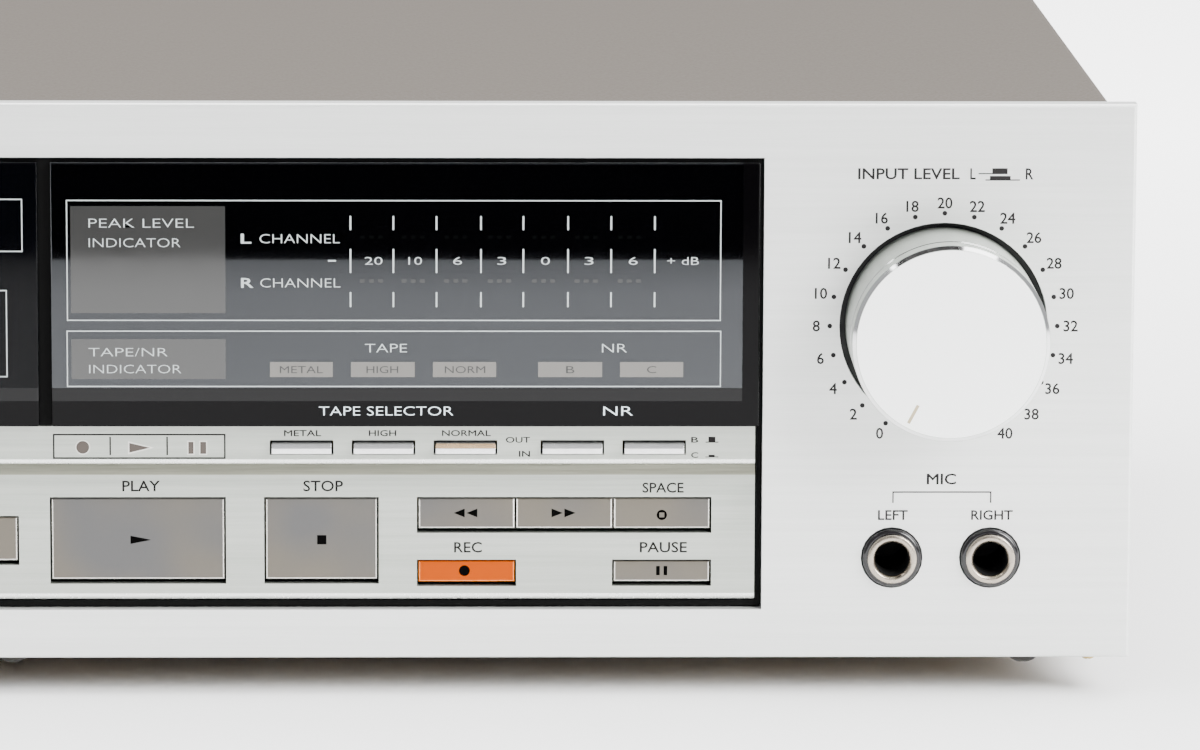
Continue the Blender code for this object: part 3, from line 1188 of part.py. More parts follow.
def make_head_bridge():
    """A sheet that lifts the head to the tape, pulled up or let down by the solenoid's plunger."""
    rear = (BRIDGE_FRONT, BRIDGE_REAR)
    right = CASSETTE_X + BRIDGE_RIGHT_REACH
    bridge_up = (BRIDGE_BOTTOM, BRIDGE_BOTTOM + BRIDGE_HEIGHT)
    plate = box((CASSETTE_X - BRIDGE_LEFT_REACH, right), rear, bridge_up)
    bridge = piece("head_bridge", plate, steel("bridge"), (CASSETTE_X, BRIDGE_REAR, BRIDGE_BOTTOM))
    shelf_up = (BRIDGE_BOTTOM, BRIDGE_BOTTOM + BRIDGE_SHELF_THICKNESS)
    shelf = box((CASSETTE_X - BRIDGE_RIGHT_REACH, right), (BRIDGE_SHELF_FRONT, BRIDGE_REAR), shelf_up)
    plunger_ends = (BRIDGE_BOTTOM - PLUNGER_REACH, BRIDGE_BOTTOM + WELD)
    centre = (CASSETTE_X, PLUNGER_DEPTH, 0)
    add(bridge, shelf, rod(PLUNGER_RADIUS, plunger_ends, centre, "Z", COARSE_STEPS))
    head_low = shelf_up[1] + SEAT_GAP
    head_deep = (HEAD_FRONT, BRIDGE_FRONT - HEAD_GAP)
    head = box(about(CASSETTE_X, HEAD_WIDTH), head_deep, (head_low, head_low + HEAD_HEIGHT))
    top_edges = [e for e in head.edges if all(v.co.z > head_low for v in e.verts)]
    round_edges(head, top_edges, HEAD_BEVEL)
    piece("record_play_head", head, steel("head"), (CASSETTE_X, HEAD_FRONT, head_low))
    top = BRIDGE_BOTTOM - SOLENOID_TOP_GAP
    low = CHASSIS_FLOOR + SEAT_GAP
    case = box(about(CASSETTE_X, SOLENOID_WIDTH), about(PLUNGER_DEPTH, SOLENOID_THICKNESS), (low, top))
    solenoid = piece("bridge_solenoid", case, steel("solenoid"))
    bore_ends = (low + SOLENOID_BORE_FLOOR, top + CUT_OVERRUN)
    cut(solenoid, rod(PLUNGER_RADIUS + TURN_GAP, bore_ends, centre, "Z", COARSE_STEPS))


def make_pinch_roller():
    deep = (BRIDGE_FRONT, BRIDGE_REAR)
    half = PINCH_ARM_WIDTH / 2
    outline = arc((PINCH_X, PINCH_Z), half, -90, 90, COARSE_STEPS // 2)
    outline += arc((TAKEUP_X, PINCH_Z), half, 90, 270, COARSE_STEPS // 2)
    pivot = (PINCH_X, 0, PINCH_Z)
    axle = (TAKEUP_X, 0, PINCH_Z)
    arm = piece("pinch_arm", prism(outline, "Y", deep), steel("pinch_arm"), pivot)
    add(
        arm,
        rod(PIVOT_RADIUS, (deep[1] - WELD, MECHANISM_REAR), pivot, steps=COARSE_STEPS),
        rod(AXLE_RADIUS, (ROLLER_FRONT - AXLE_PROUD, deep[0] + WELD), axle, steps=COARSE_STEPS),
    )
    ends = (ROLLER_FRONT, ROLLER_FRONT + ROLLER_WIDTH)
    roller = tube(AXLE_RADIUS + TURN_GAP, ROLLER_RADIUS, ends, axle)
    piece("pinch_roller", roller, dark_plastic("roller"), axle)


clear_scene()
make_front_panel()
make_recess_frame()
make_display()
make_control_strip()
make_keys()
make_selectors()
make_switch_board()
make_power_switch()
make_level_knob()
make_sockets()
make_cover()
make_chassis()
make_rear_panel()
make_line_terminals()
make_mains_inlet()
make_feet()
make_transformer()
make_main_board()
make_door()
make_capstan_drive(make_mechanism_plate())
make_spindles()
make_head_bridge()
make_pinch_roller()
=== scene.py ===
"""The looks of a full-width cassette deck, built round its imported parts, in metres with +Z up."""

import math

import bmesh
import bpy
from mathutils import Matrix, Vector


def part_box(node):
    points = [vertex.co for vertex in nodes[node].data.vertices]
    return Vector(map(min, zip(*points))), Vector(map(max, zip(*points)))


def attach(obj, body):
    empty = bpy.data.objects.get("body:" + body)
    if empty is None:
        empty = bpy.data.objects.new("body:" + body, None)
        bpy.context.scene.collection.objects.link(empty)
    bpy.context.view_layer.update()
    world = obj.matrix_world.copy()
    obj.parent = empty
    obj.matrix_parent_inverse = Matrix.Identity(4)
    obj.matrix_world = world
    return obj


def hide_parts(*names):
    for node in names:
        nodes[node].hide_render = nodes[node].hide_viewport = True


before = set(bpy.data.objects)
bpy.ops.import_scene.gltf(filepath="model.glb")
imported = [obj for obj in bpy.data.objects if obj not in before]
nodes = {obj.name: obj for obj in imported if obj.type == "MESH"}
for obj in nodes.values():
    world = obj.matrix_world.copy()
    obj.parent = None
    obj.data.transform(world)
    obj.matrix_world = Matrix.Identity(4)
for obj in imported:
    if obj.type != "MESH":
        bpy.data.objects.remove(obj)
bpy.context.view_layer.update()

MM = 0.001
front_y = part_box("front_panel")[0].y

# The photographer's view: a long lens in front of the deck's right half, a little above it, with
# the deck's left half outside the picture. The camera is placed by the panel's edges and the
# nineteen dots round the level knob.
camera_place = Vector((0.08381, front_y - 1.34466, 0.28839))
camera_right = Vector((0.99975, -0.02201, 0.00379))
camera_down = Vector((0.0001, -0.16514, -0.98627))
camera_forward = Vector((0.02233, 0.98602, -0.1651))
camera_data = bpy.data.cameras.new("camera")
camera_data.sensor_width = 36.0
camera_data.lens = 211.79
camera_data.clip_start = 0.01
camera_data.clip_end = 30.0
camera = bpy.data.objects.new("camera", camera_data)
bpy.context.scene.collection.objects.link(camera)
camera_axes = Matrix((camera_right, -camera_down, -camera_forward)).transposed().to_4x4()
camera.matrix_world = Matrix.Translation(camera_place) @ camera_axes
bpy.context.scene.camera = camera


# The studio: a white table that fills the picture, lit by a wide soft light above and weaker ones
# in front and at the right; the table's far part glows, painted light for a brightly lit backdrop.
# What the windows and polished edges mirror is painted reflection: a table that fades, painted shade
# for the light falling off, and ends half a metre before the deck, and a dark sheet overhead.
# Neither is seen or throws a shadow.
def new_finish(name, colour, roughness=0.5, metallic=0.0, **sockets):
    """A material with one shader. Other sockets of the shader are named with _ for a blank."""
    made = bpy.data.materials.new(name)
    made.use_nodes = True
    shader = made.node_tree.nodes["Principled BSDF"]
    shader.inputs["Base Color"].default_value = (*colour, 1.0)
    shader.inputs["Roughness"].default_value = roughness
    shader.inputs["Metallic"].default_value = metallic
    for socket, value in sockets.items():
        shader.inputs[socket.replace("_", " ")].default_value = value
    return made


def flat_sheet(name, across, deep, z, material):
    mesh = bpy.data.meshes.new(name)
    (left, right), (near, far) = across, deep
    corners = [(left, near, z), (right, near, z), (right, far, z), (left, far, z)]
    mesh.from_pydata(corners, [], [(0, 1, 2, 3)])
    mesh.materials.append(material)
    made = bpy.data.objects.new(name, mesh)
    bpy.context.scene.collection.objects.link(made)
    return made


def soft_light(name, place, aim, size, power):
    data = bpy.data.lights.new(name, "AREA")
    data.shape = "RECTANGLE"
    data.size, data.size_y = size
    data.energy = power
    made = bpy.data.objects.new(name, data)
    bpy.context.scene.collection.objects.link(made)
    made.location = place
    made.rotation_euler = (Vector(aim) - Vector(place)).to_track_quat("-Z", "Y").to_euler()
    made.visible_camera = False


def wire(tree, start, end):
    tree.links.new(start, end)


def place_along_y(tree):
    """The sheet's own Y coordinate, in metres, as a source for other nodes."""
    points = tree.nodes.new("ShaderNodeTexCoord")
    axes = tree.nodes.new("ShaderNodeSeparateXYZ")
    wire(tree, points.outputs["Object"], axes.inputs["Vector"])
    return axes.outputs["Y"]


table_white = 0.95
table_paint = new_finish("table_paint", (table_white,) * 3, 0.7)
table_tree = table_paint.node_tree
table_shader = table_tree.nodes["Principled BSDF"]
# Painted light: the table glows from just behind the deck, more strongly further back, as a brightly lit backdrop.
rear_painted_glow = table_tree.nodes.new("ShaderNodeMapRange")
for socket, value in (("From Min", 0.16), ("From Max", 0.7), ("To Max", 2.0)):
    rear_painted_glow.inputs[socket].default_value = value
table_shader.inputs["Emission Color"].default_value = (1.0, 1.0, 1.0, 1.0)
wire(table_tree, place_along_y(table_tree), rear_painted_glow.inputs["Value"])
wire(table_tree, rear_painted_glow.outputs["Result"], table_shader.inputs["Emission Strength"])
flat_sheet("table", (-6.0, 6.0), (-6.0, 9.0), 0.0, table_paint)

# A sheet seen only in reflections, its grey falling off with distance: painted shade for the light falling off
# across the table.
painted_falloff_reflection = new_finish("painted_falloff_reflection", (0.5, 0.5, 0.5), 0.7)
fade_tree = painted_falloff_reflection.node_tree
distance = fade_tree.nodes.new("ShaderNodeMath")
distance.operation = "MULTIPLY"
distance.inputs[1].default_value = -1.0
fade = fade_tree.nodes.new("ShaderNodeValToRGB")
painted_falloff_grey = 0.45
stops = fade.color_ramp.elements
stops[0].color, stops[1].color = (*(table_white,) * 3, 1.0), (*(painted_falloff_grey,) * 3, 1.0)
for place, grey in ((0.45, table_white), (0.63, 0.78), (0.7, painted_falloff_grey)):
    stops.new(place).color = (grey, grey, grey, 1.0)
wire(fade_tree, place_along_y(fade_tree), distance.inputs[0])
wire(fade_tree, distance.outputs[0], fade.inputs["Fac"])
wire(fade_tree, fade.outputs["Color"], fade_tree.nodes["Principled BSDF"].inputs["Base Color"])
# Dark sheets seen only in reflections: painted reflection of the dark beyond the table's end and a dark patch
# overhead.
painted_dark_reflection = new_finish("painted_dark_reflection", (0.0, 0.0, 0.0), 1.0, Specular_IOR_Level=0.0)
table_end = front_y - 0.563
just_over = 0.002
for sheet in (
    flat_sheet("fading_near", (-5.0, 5.0), (table_end, front_y - 0.33), just_over, painted_falloff_reflection),
    flat_sheet("dark_beyond", (-5.0, 5.0), (-5.0, table_end), just_over, painted_dark_reflection),
    flat_sheet("dark_above", (-0.95, 0.49), (front_y - 0.9, front_y + 0.35), 1.55, painted_dark_reflection),
):
    sheet.visible_camera = False
    sheet.visible_diffuse = False
    sheet.visible_shadow = False

soft_light("top_light", (0.0, 0.2, 1.9), (0.0, 0.0, 0.0), (3.0, 2.6), 165)
soft_light("front_light", (2.0, -1.8, 1.7), (0.05, -0.1, 0.05), (2.0, 1.5), 125)
soft_light("side_light", (1.05, -1.05, 0.65), (0.15, -0.12, 0.06), (0.8, 0.8), 34)
room = bpy.data.worlds.new("room")
bpy.context.scene.world = room
room.use_nodes = True
room_light = room.node_tree.nodes["Background"]
room_light.inputs["Color"].default_value = (0.96, 0.98, 1.0, 1.0)
room_light.inputs["Strength"].default_value = 0.6


# Chassis: a pan of sheet steel with turned-up sides, its zinc passivated to a dull warm brown. The
# rear panel, mechanism plate and flywheel bracket have plain cloudy zinc with faint crystals. Dark
# screws hold the pan from below, and two small yellow ones its front corners.
def point_source(tree, stretch=(1.0, 1.0, 1.0)):
    """The piece's own coordinates, stretched, so that a pattern can run along one axis."""
    place = tree.nodes.new("ShaderNodeTexCoord")
    mapping = tree.nodes.new("ShaderNodeMapping")
    mapping.inputs["Scale"].default_value = stretch
    wire(tree, place.outputs["Object"], mapping.inputs["Vector"])
    return mapping.outputs["Vector"]


def noise(tree, points, scale, detail=2.0, rough=0.5):
    made = tree.nodes.new("ShaderNodeTexNoise")
    made.inputs["Scale"].default_value = scale
    made.inputs["Detail"].default_value = detail
    made.inputs["Roughness"].default_value = rough
    wire(tree, points, made.inputs["Vector"])
    return made.outputs["Fac"]


def shades(tree, factor, low, high, start=0.3, end=0.7):
    """Turns a pattern into a run between two colours, or two grey values."""
    ramp = tree.nodes.new("ShaderNodeValToRGB")
    stops = ramp.color_ramp.elements
    stops[0].position, stops[1].position = start, end
    stops[0].color = (*low, 1.0) if isinstance(low, tuple) else (low, low, low, 1.0)
    stops[1].color = (*high, 1.0) if isinstance(high, tuple) else (high, high, high, 1.0)
    wire(tree, factor, ramp.inputs["Fac"])
    return ramp.outputs["Color"]


def relief(material, height, distance):
    tree = material.node_tree
    bump = tree.nodes.new("ShaderNodeBump")
    bump.inputs["Distance"].default_value = distance
    wire(tree, height, bump.inputs["Height"])
    wire(tree, bump.outputs["Normal"], tree.nodes["Principled BSDF"].inputs["Normal"])


def feed(material, socket, source):
    wire(material.node_tree, source, material.node_tree.nodes["Principled BSDF"].inputs[socket])


def dress(names, material):
    """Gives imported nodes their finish."""
    for name in names:
        for held in nodes[name].material_slots:
            held.material = material


zinc = new_finish("zinc_plating", (0.5, 0.5, 0.49), 0.42, 0.9)
zinc_tree = zinc.node_tree
zinc_points = point_source(zinc_tree)
crystals = zinc_tree.nodes.new("ShaderNodeTexVoronoi")
crystals.inputs["Scale"].default_value = 160.0
wire(zinc_tree, zinc_points, crystals.inputs["Vector"])
cloud = noise(zinc_tree, zinc_points, 24.0, 3.0)
feed(zinc, "Base Color", shades(zinc_tree, cloud, (0.42, 0.42, 0.41), (0.6, 0.6, 0.58)))
feed(zinc, "Roughness", shades(zinc_tree, crystals.outputs["Distance"], 0.34, 0.52, 0.0, 0.9))
relief(zinc, noise(zinc_tree, zinc_points, 900.0), 2e-5)
dress(["rear_panel", "mechanism_plate", "flywheel_bracket"], zinc)
pan_zinc = new_finish("passivated_zinc", (0.2, 0.15, 0.09), 0.46, 0.7)
pan_tree = pan_zinc.node_tree
pan_cloud = noise(pan_tree, point_source(pan_tree), 18.0, 3.0)
feed(pan_zinc, "Base Color", shades(pan_tree, pan_cloud, (0.13, 0.1, 0.065), (0.22, 0.165, 0.1)))
relief(pan_zinc, noise(pan_tree, point_source(pan_tree), 900.0), 2e-5)
dress(["chassis"], pan_zinc)


def settled(piece):
    """The piece's modifiers made part of its mesh."""
    graph = bpy.context.evaluated_depsgraph_get()
    mesh = bpy.data.meshes.new_from_object(piece.evaluated_get(graph))
    piece.modifiers.clear()
    piece.data = mesh
    return piece


smooth_under = math.radians(35.0)


def made_of(name, shape, *materials):
    """A finished piece from a shape whose points already lie in place. Its flat faces shade flat."""
    mesh = bpy.data.meshes.new(name)
    shape.to_mesh(mesh)
    shape.free()
    for material in materials:
        mesh.materials.append(material)
    mesh.shade_smooth()
    mesh.set_sharp_from_angle(angle=smooth_under)
    made = bpy.data.objects.new(name, mesh)
    bpy.context.scene.collection.objects.link(made)
    weigh = made.modifiers.new("weigh", "WEIGHTED_NORMAL")
    weigh.keep_sharp = True
    return settled(made)


def turned(profile, steps, centre=(0.0, 0.0, 0.0), axis="Z"):
    """A shape turned round an axis, from pairs of a radius and a place along it. Ends close on it."""
    shape = bmesh.new()
    points = [shape.verts.new((radius, 0.0, along)) for radius, along in profile]
    lines = [shape.edges.new(pair) for pair in zip(points, points[1:])]
    if profile[0][0] > 0 and profile[-1][0] > 0:
        lines.append(shape.edges.new((points[-1], points[0])))
    bmesh.ops.spin(
        shape, geom=points + lines, cent=(0, 0, 0), axis=(0, 0, 1), angle=2 * math.pi, steps=steps
    )
    bmesh.ops.remove_doubles(shape, verts=shape.verts, dist=2e-6)
    bmesh.ops.recalc_face_normals(shape, faces=shape.faces)
    turn = Matrix.Rotation(-math.pi / 2, 4, "X") if axis == "Y" else Matrix.Identity(4)
    bmesh.ops.transform(shape, matrix=Matrix.Translation(centre) @ turn, verts=shape.verts)
    return shape


def block(low, high, bevel=0.0, segments=2):
    """A block between two corners, with its edges rounded."""
    low, high = Vector(low), Vector(high)
    shape = bmesh.new()
    place = Matrix.Translation((low + high) / 2) @ Matrix.Diagonal((high - low).to_4d())
    bmesh.ops.create_cube(shape, size=1.0, matrix=place)
    if bevel:
        bmesh.ops.bevel(
            shape, geom=list(shape.edges), offset=bevel, segments=segments, affect="EDGES", profile=0.5
        )
    return shape


def together(shapes):
    """Several shapes as one mesh."""
    whole = bmesh.new()
    for shape in shapes:
        mesh = bpy.data.meshes.new("shape")
        shape.to_mesh(mesh)
        shape.free()
        whole.from_mesh(mesh)
        bpy.data.meshes.remove(mesh)
    return whole


def carved(piece, cutter_shape):
    cutter = made_of("cutter", cutter_shape)
    cut = piece.modifiers.new("cut", "BOOLEAN")
    cut.operation = "DIFFERENCE"
    cut.object = cutter
    settled(piece)
    bpy.data.objects.remove(cutter)


def placed(piece, body, slot, *replaced):
    """The calls for every new piece: its body, its finish in the record, which is not used, and the nodes it
    stands for.
    """
    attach(piece, body)
    if replaced:
        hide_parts(*replaced)


def repeater():
    """A tree that sets a copy of one shape on each point of a mesh, each spun by chance."""
    tree = bpy.data.node_groups.new("copies_on_points", "GeometryNodeTree")
    kinds = {
        "Points": "Geometry", "Shape": "Object", "Turn": "Vector", "Spin": "Float", "Seed": "Int",
        "Finish": "Material",
    }
    for socket, kind in kinds.items():
        tree.interface.new_socket(socket, in_out="INPUT", socket_type="NodeSocket" + kind)
    tree.interface.new_socket("Copies", in_out="OUTPUT", socket_type="NodeSocketGeometry")
    given = tree.nodes.new("NodeGroupInput")
    shape = tree.nodes.new("GeometryNodeObjectInfo")
    shape.inputs["As Instance"].default_value = True
    copies = tree.nodes.new("GeometryNodeInstanceOnPoints")
    spin = tree.nodes.new("FunctionNodeRandomValue")
    spin.data_type = "FLOAT"
    about_axis = tree.nodes.new("ShaderNodeCombineXYZ")
    rotate = tree.nodes.new("GeometryNodeRotateInstances")
    real = tree.nodes.new("GeometryNodeRealizeInstances")
    paint = tree.nodes.new("GeometryNodeSetMaterial")
    result = tree.nodes.new("NodeGroupOutput")
    for start, end in (
        (given.outputs["Points"], copies.inputs["Points"]),
        (given.outputs["Shape"], shape.inputs["Object"]),
        (shape.outputs["Geometry"], copies.inputs["Instance"]),
        (given.outputs["Turn"], copies.inputs["Rotation"]),
        (given.outputs["Spin"], spin.inputs[3]),
        (given.outputs["Seed"], spin.inputs["Seed"]),
        (spin.outputs[1], about_axis.inputs["Z"]),
        (copies.outputs["Instances"], rotate.inputs["Instances"]),
        (about_axis.outputs["Vector"], rotate.inputs["Rotation"]),
        (rotate.outputs["Instances"], real.inputs["Geometry"]),
        (real.outputs["Geometry"], paint.inputs["Geometry"]),
        (given.outputs["Finish"], paint.inputs["Material"]),
        (paint.outputs["Geometry"], result.inputs["Copies"]),
    ):
        wire(tree, start, end)
    return tree


copies_tree = repeater()


def copies(name, shape, places, material, turn=(0.0, 0.0, 0.0), spin=0.0, seed=7):
    """One mesh of like shapes set on points by the tree."""
    pattern = made_of(name + "_pattern", shape)
    mesh = bpy.data.meshes.new(name)
    mesh.from_pydata([Vector(place) for place in places], [], [])
    made = bpy.data.objects.new(name, mesh)
    bpy.context.scene.collection.objects.link(made)
    modifier = made.modifiers.new("copies", "NODES")
    modifier.node_group = copies_tree
    values = {"Shape": pattern, "Turn": turn, "Spin": spin, "Seed": seed, "Finish": material}
    for socket in copies_tree.interface.items_tree:
        if socket.in_out == "INPUT" and socket.name in values:
            modifier[socket.identifier] = values[socket.name]
    settled(made)
    bpy.data.objects.remove(pattern)
    made.data.shade_smooth()
    made.data.set_sharp_from_angle(angle=smooth_under)
    return made


def quarter_turn(steps=7):
    """Angles 15 degrees apart. Seven of them make a quarter turn."""
    return [math.radians(step * 15) for step in range(steps)]


def screw_head(radius, height):
    """A domed head with a cross recess, standing on the plane z = 0."""
    dome = [(radius * math.cos(a), height * (0.35 + 0.65 * math.sin(a))) for a in quarter_turn(6)]
    profile = [(0.0, 0.0), (radius, 0.0), *dome, (0.0, height)]
    head = made_of("head", turned(profile, 20))
    arm, half, floor = radius * 0.55, radius * 0.12, height * 0.35
    slots = [block((-arm, -half, floor), (arm, half, 2 * height)),
             block((-half, -arm, floor), (half, arm, 2 * height + MM / 10))]
    for slot in slots:
        carved(head, slot)
    shape = bmesh.new()
    shape.from_mesh(head.data)
    bpy.data.objects.remove(head)
    return shape


def screw_finish(name, colour, roughness, metallic):
    made = new_finish(name, colour, roughness, metallic)
    relief(made, noise(made.node_tree, point_source(made.node_tree), 2500.0), 2e-5)
    return made


def screws(name, radius, height, places, material, turn, spin=1.5, seed=7):
    """Screw heads in one piece, their radius and height in millimetres."""
    heads = copies(name, screw_head(radius * MM, height * MM), places, material, turn, spin, seed)
    placed(heads, "root", "zinc_steel")


black_screw = screw_finish("blackened_screw", (0.035, 0.033, 0.03), 0.38, 0.8)
yellow_screw = screw_finish("yellow_plated_screw", (0.55, 0.4, 0.16), 0.3, 1.0)
sunk = 0.02 * MM
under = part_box("chassis")[0].z - sunk
downward = (math.pi, 0, 0)
for name, radius, height, across, depth, finish, spin, seed in (
    ("bottom_screws", 3.1, 2.2, (-197.4, -98.0, 0.0, 98.0, 197.4), 255.0, black_screw, 1.5, 7),
    ("front_edge_screws", 3.1, 2.9, (-197.4, 0.0, 197.4), 7.9, black_screw, 1.5, 7),
    ("pan_front_screws", 1.8, 2.4, (-210.2, 210.2), 7.6, yellow_screw, 0.0, 5),
):
    places = [(x * MM, front_y + depth * MM, under) for x in across]
    screws(name, radius, height, places, finish, downward, spin, seed)


# Feet: four moulded feet of dark plastic, each with a rounded toe, a ring rib round a hollow
# middle, and one screw in the hollow that holds it to the pan.
def mm(*pairs):
    """Pairs of lengths in millimetres, as pairs in metres."""
    return [(first * MM, second * MM) for first, second in pairs]


foot_plastic = new_finish("foot_plastic", (0.022, 0.021, 0.02), 0.55)
foot_tree = foot_plastic.node_tree
feed(foot_plastic, "Roughness", shades(foot_tree, noise(foot_tree, point_source(foot_tree), 300.0), 0.45, 0.65))
relief(foot_plastic, noise(foot_tree, point_source(foot_tree), 1800.0), 4e-5)
foot_screw_places = []
for corner in ("front_left", "front_right", "rear_left", "rear_right"):
    name = "foot_" + corner
    low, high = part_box(name)
    centre = ((low.x + high.x) / 2, (low.y + high.y) / 2, 0.0)
    radius, top = (high.x - low.x) / 2, high.z
    toe = [(radius - MM * (1 - math.sin(a)), MM * (1 - math.cos(a))) for a in
           [math.radians(step * 22.5) for step in range(5)]]
    hollow = mm((0, 3.4), (4.6, 3.4), (4.9, 3.1), (4.9, 0.5), (5.4, 0), (7.2, 0), (7.5, 0.5), (8, 0.5), (8.3, 0))
    waist = radius - 0.3 * MM
    profile = [*hollow, *toe, (radius, top - 0.9 * MM), (waist, top - 0.7 * MM), (waist, top), (0.0, top)]
    foot = made_of(name + "_moulding", turned(profile, 56, centre), foot_plastic)
    placed(foot, "root", "foot_plastic", name)
    foot_screw_places.append((centre[0], centre[1], 3.4 * MM - sunk))
screws("foot_screws", 3.4, 1.9, foot_screw_places, black_screw, downward, seed=3)


# Rear panel furniture: a moulded block with four nickel phono sockets, each with a coloured collar
# and insulator, a mains inlet with two pins, and the screws that hold them and the sheet steel.
def look(name, colour, low_rough, high_rough, scale, depth, metallic=0.0, **sockets):
    """A material whose roughness wavers with a noise that also gives it a fine relief."""
    made = new_finish(name, colour, (low_rough + high_rough) / 2, metallic, **sockets)
    tree = made.node_tree
    grain = noise(tree, point_source(tree), scale, 3.0)
    feed(made, "Roughness", shades(tree, grain, low_rough, high_rough))
    relief(made, grain, depth)
    return made


dark_plastic = look("dark_moulded_plastic", (0.007, 0.007, 0.007), 0.4, 0.55, 900.0, 3e-5)
nickel = look("socket_nickel", (0.38, 0.33, 0.27), 0.2, 0.34, 600.0, 1e-5, 1.0)
# The level control's plate behind the knob takes the dark plastic finish: painted shade in the gap round the level
# knob.
dress(["line_terminal_block", "mains_inlet", "level_control", "power_switch"], dark_plastic)
block_low, block_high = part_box("line_terminal_block")
insulator_colours = {
    "white": look("white_insulator", (0.75, 0.74, 0.7), 0.35, 0.45, 700.0, 2e-5),
    "red": look("red_insulator", (0.5, 0.02, 0.015), 0.35, 0.45, 700.0, 2e-5),
}
middle = (block_low + block_high) / 2
collar_y = block_high.y - 9.28 * MM
collar_profile = mm((4.2, 0), (5.3, 0), (5.3, 1.3), (5.0, 1.6), (4.2, 1.6))
insulator_profile = mm((1.6, 9.1), (3.5, 9.1), (3.5, 9.42), (1.6, 9.42))
sleeve_profile = mm((3.4, 1.5), (4.3, 1.5), (4.3, 9.35), (4.1, 9.6), (3.5, 9.6), (3.4, 9.5))
for colour, rise in (("white", 6.5), ("red", -6.5)):
    rings = []
    sleeves = []
    for shift in (-12.0, 12.0):
        centre = (middle.x + shift * MM, collar_y, middle.z + rise * MM)
        rings += [turned(profile, 32, centre, "Y") for profile in (collar_profile, insulator_profile)]
        sleeves.append(turned(sleeve_profile, 32, centre, "Y"))
    collars = made_of(colour + "_terminal_collars", together(rings), insulator_colours[colour])
    placed(collars, "root", "dark_plastic")
    placed(made_of(colour + "_terminal_sleeves", together(sleeves), nickel), "root", "socket_nickel")
rear_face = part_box("rear_panel")[1].y - sunk
inlet_low, inlet_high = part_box("mains_inlet")
inlet_middle = (inlet_low + inlet_high) / 2
rear_places = [(x * MM, rear_face, z * MM) for x in (-205.0, -100.0, 60.0, 205.0) for z in (16.0, 106.0)]
for held, reach in ((middle, 28.5), (inlet_middle, 19.0)):
    rear_places += [(held.x + shift * MM, rear_face, held.z) for shift in (-reach, reach)]
screws("rear_screws", 2.7, 1.8, rear_places, black_screw, (-math.pi / 2, 0, 0), seed=11)


# Electronics: brown paper boards, a dark one behind the display, and a mains transformer with a dull
# steel core.
dress(["main_board", "switch_board"], look("board_brown", (0.2, 0.115, 0.04), 0.5, 0.65, 400.0, 3e-5))
dress(["display_board"], look("board_dark", (0.02, 0.026, 0.022), 0.5, 0.6, 400.0, 2e-5))
dress(["power_transformer"], look("core_steel", (0.3, 0.29, 0.27), 0.4, 0.55, 500.0, 3e-5, 0.8))


# Tape mechanism: bright steel rods and shafts, a turned brass pulley, a zinc-cast flywheel, grey
# moulded reel spindles, a rubber roller and belt, and a head in a bright nickel case.
steel_nodes = [
    "door_hinge_rod", "capstan_shaft", "pinch_arm", "head_bridge", "bridge_solenoid", "capstan_motor",
    "level_shaft_inner", "level_shaft_outer",
]
dress(steel_nodes, look("bright_steel", (0.62, 0.61, 0.59), 0.16, 0.3, 800.0, 1e-5, 1.0))
dress(["flywheel"], look("cast_zinc", (0.45, 0.45, 0.44), 0.32, 0.45, 300.0, 2e-5, 1.0))
dress(["motor_pulley"], look("turned_brass", (0.7, 0.5, 0.2), 0.2, 0.32, 700.0, 1e-5, 1.0))
spindle_grey = look("spindle_plastic", (0.1, 0.1, 0.1), 0.35, 0.5, 700.0, 2e-5)
dress(["supply_spindle", "takeup_spindle"], spindle_grey)
dress(["drive_belt", "pinch_roller"], look("black_rubber", (0.012, 0.012, 0.012), 0.6, 0.78, 1200.0, 4e-5))
dress(["record_play_head"], look("head_case", (0.66, 0.64, 0.6), 0.1, 0.2, 600.0, 5e-6, 1.0))


# Recess frame: black moulded plastic that lines the panel's recess, with a thin rim and a fine
# grain.
frame_black = look(
    "frame_black", (0.003, 0.003, 0.003), 0.32, 0.5, 1500.0, 3e-5, Specular_IOR_Level=0.04
)
dress(["recess_frame"], frame_black)


# Display window: a smoked acrylic plate with a polished face and a black border printed round it.
# White outlines, ticks and lettering are screen printed; two grey panels carry the headings, and
# five pale fields light up from behind. The meters' unlit dots show faintly in its glass.
print_lift, print_sink = 0.03 * MM, 0.01 * MM


def film(rectangles, surface):
    """Flat print, each field given by its left, right, lower and upper edge in millimetres."""
    return together([
        block((left * MM, surface - print_lift, low * MM), (right * MM, surface + print_sink, high * MM))
        for left, right, low, high in rectangles
    ])


def outline(left, right, low, high, line):
    """The four sides of a printed frame."""
    return [
        (left, right, high - line, high), (left, right, low, low + line),
        (left, left + line, low + line, high - line), (right - line, right, low + line, high - line),
    ]


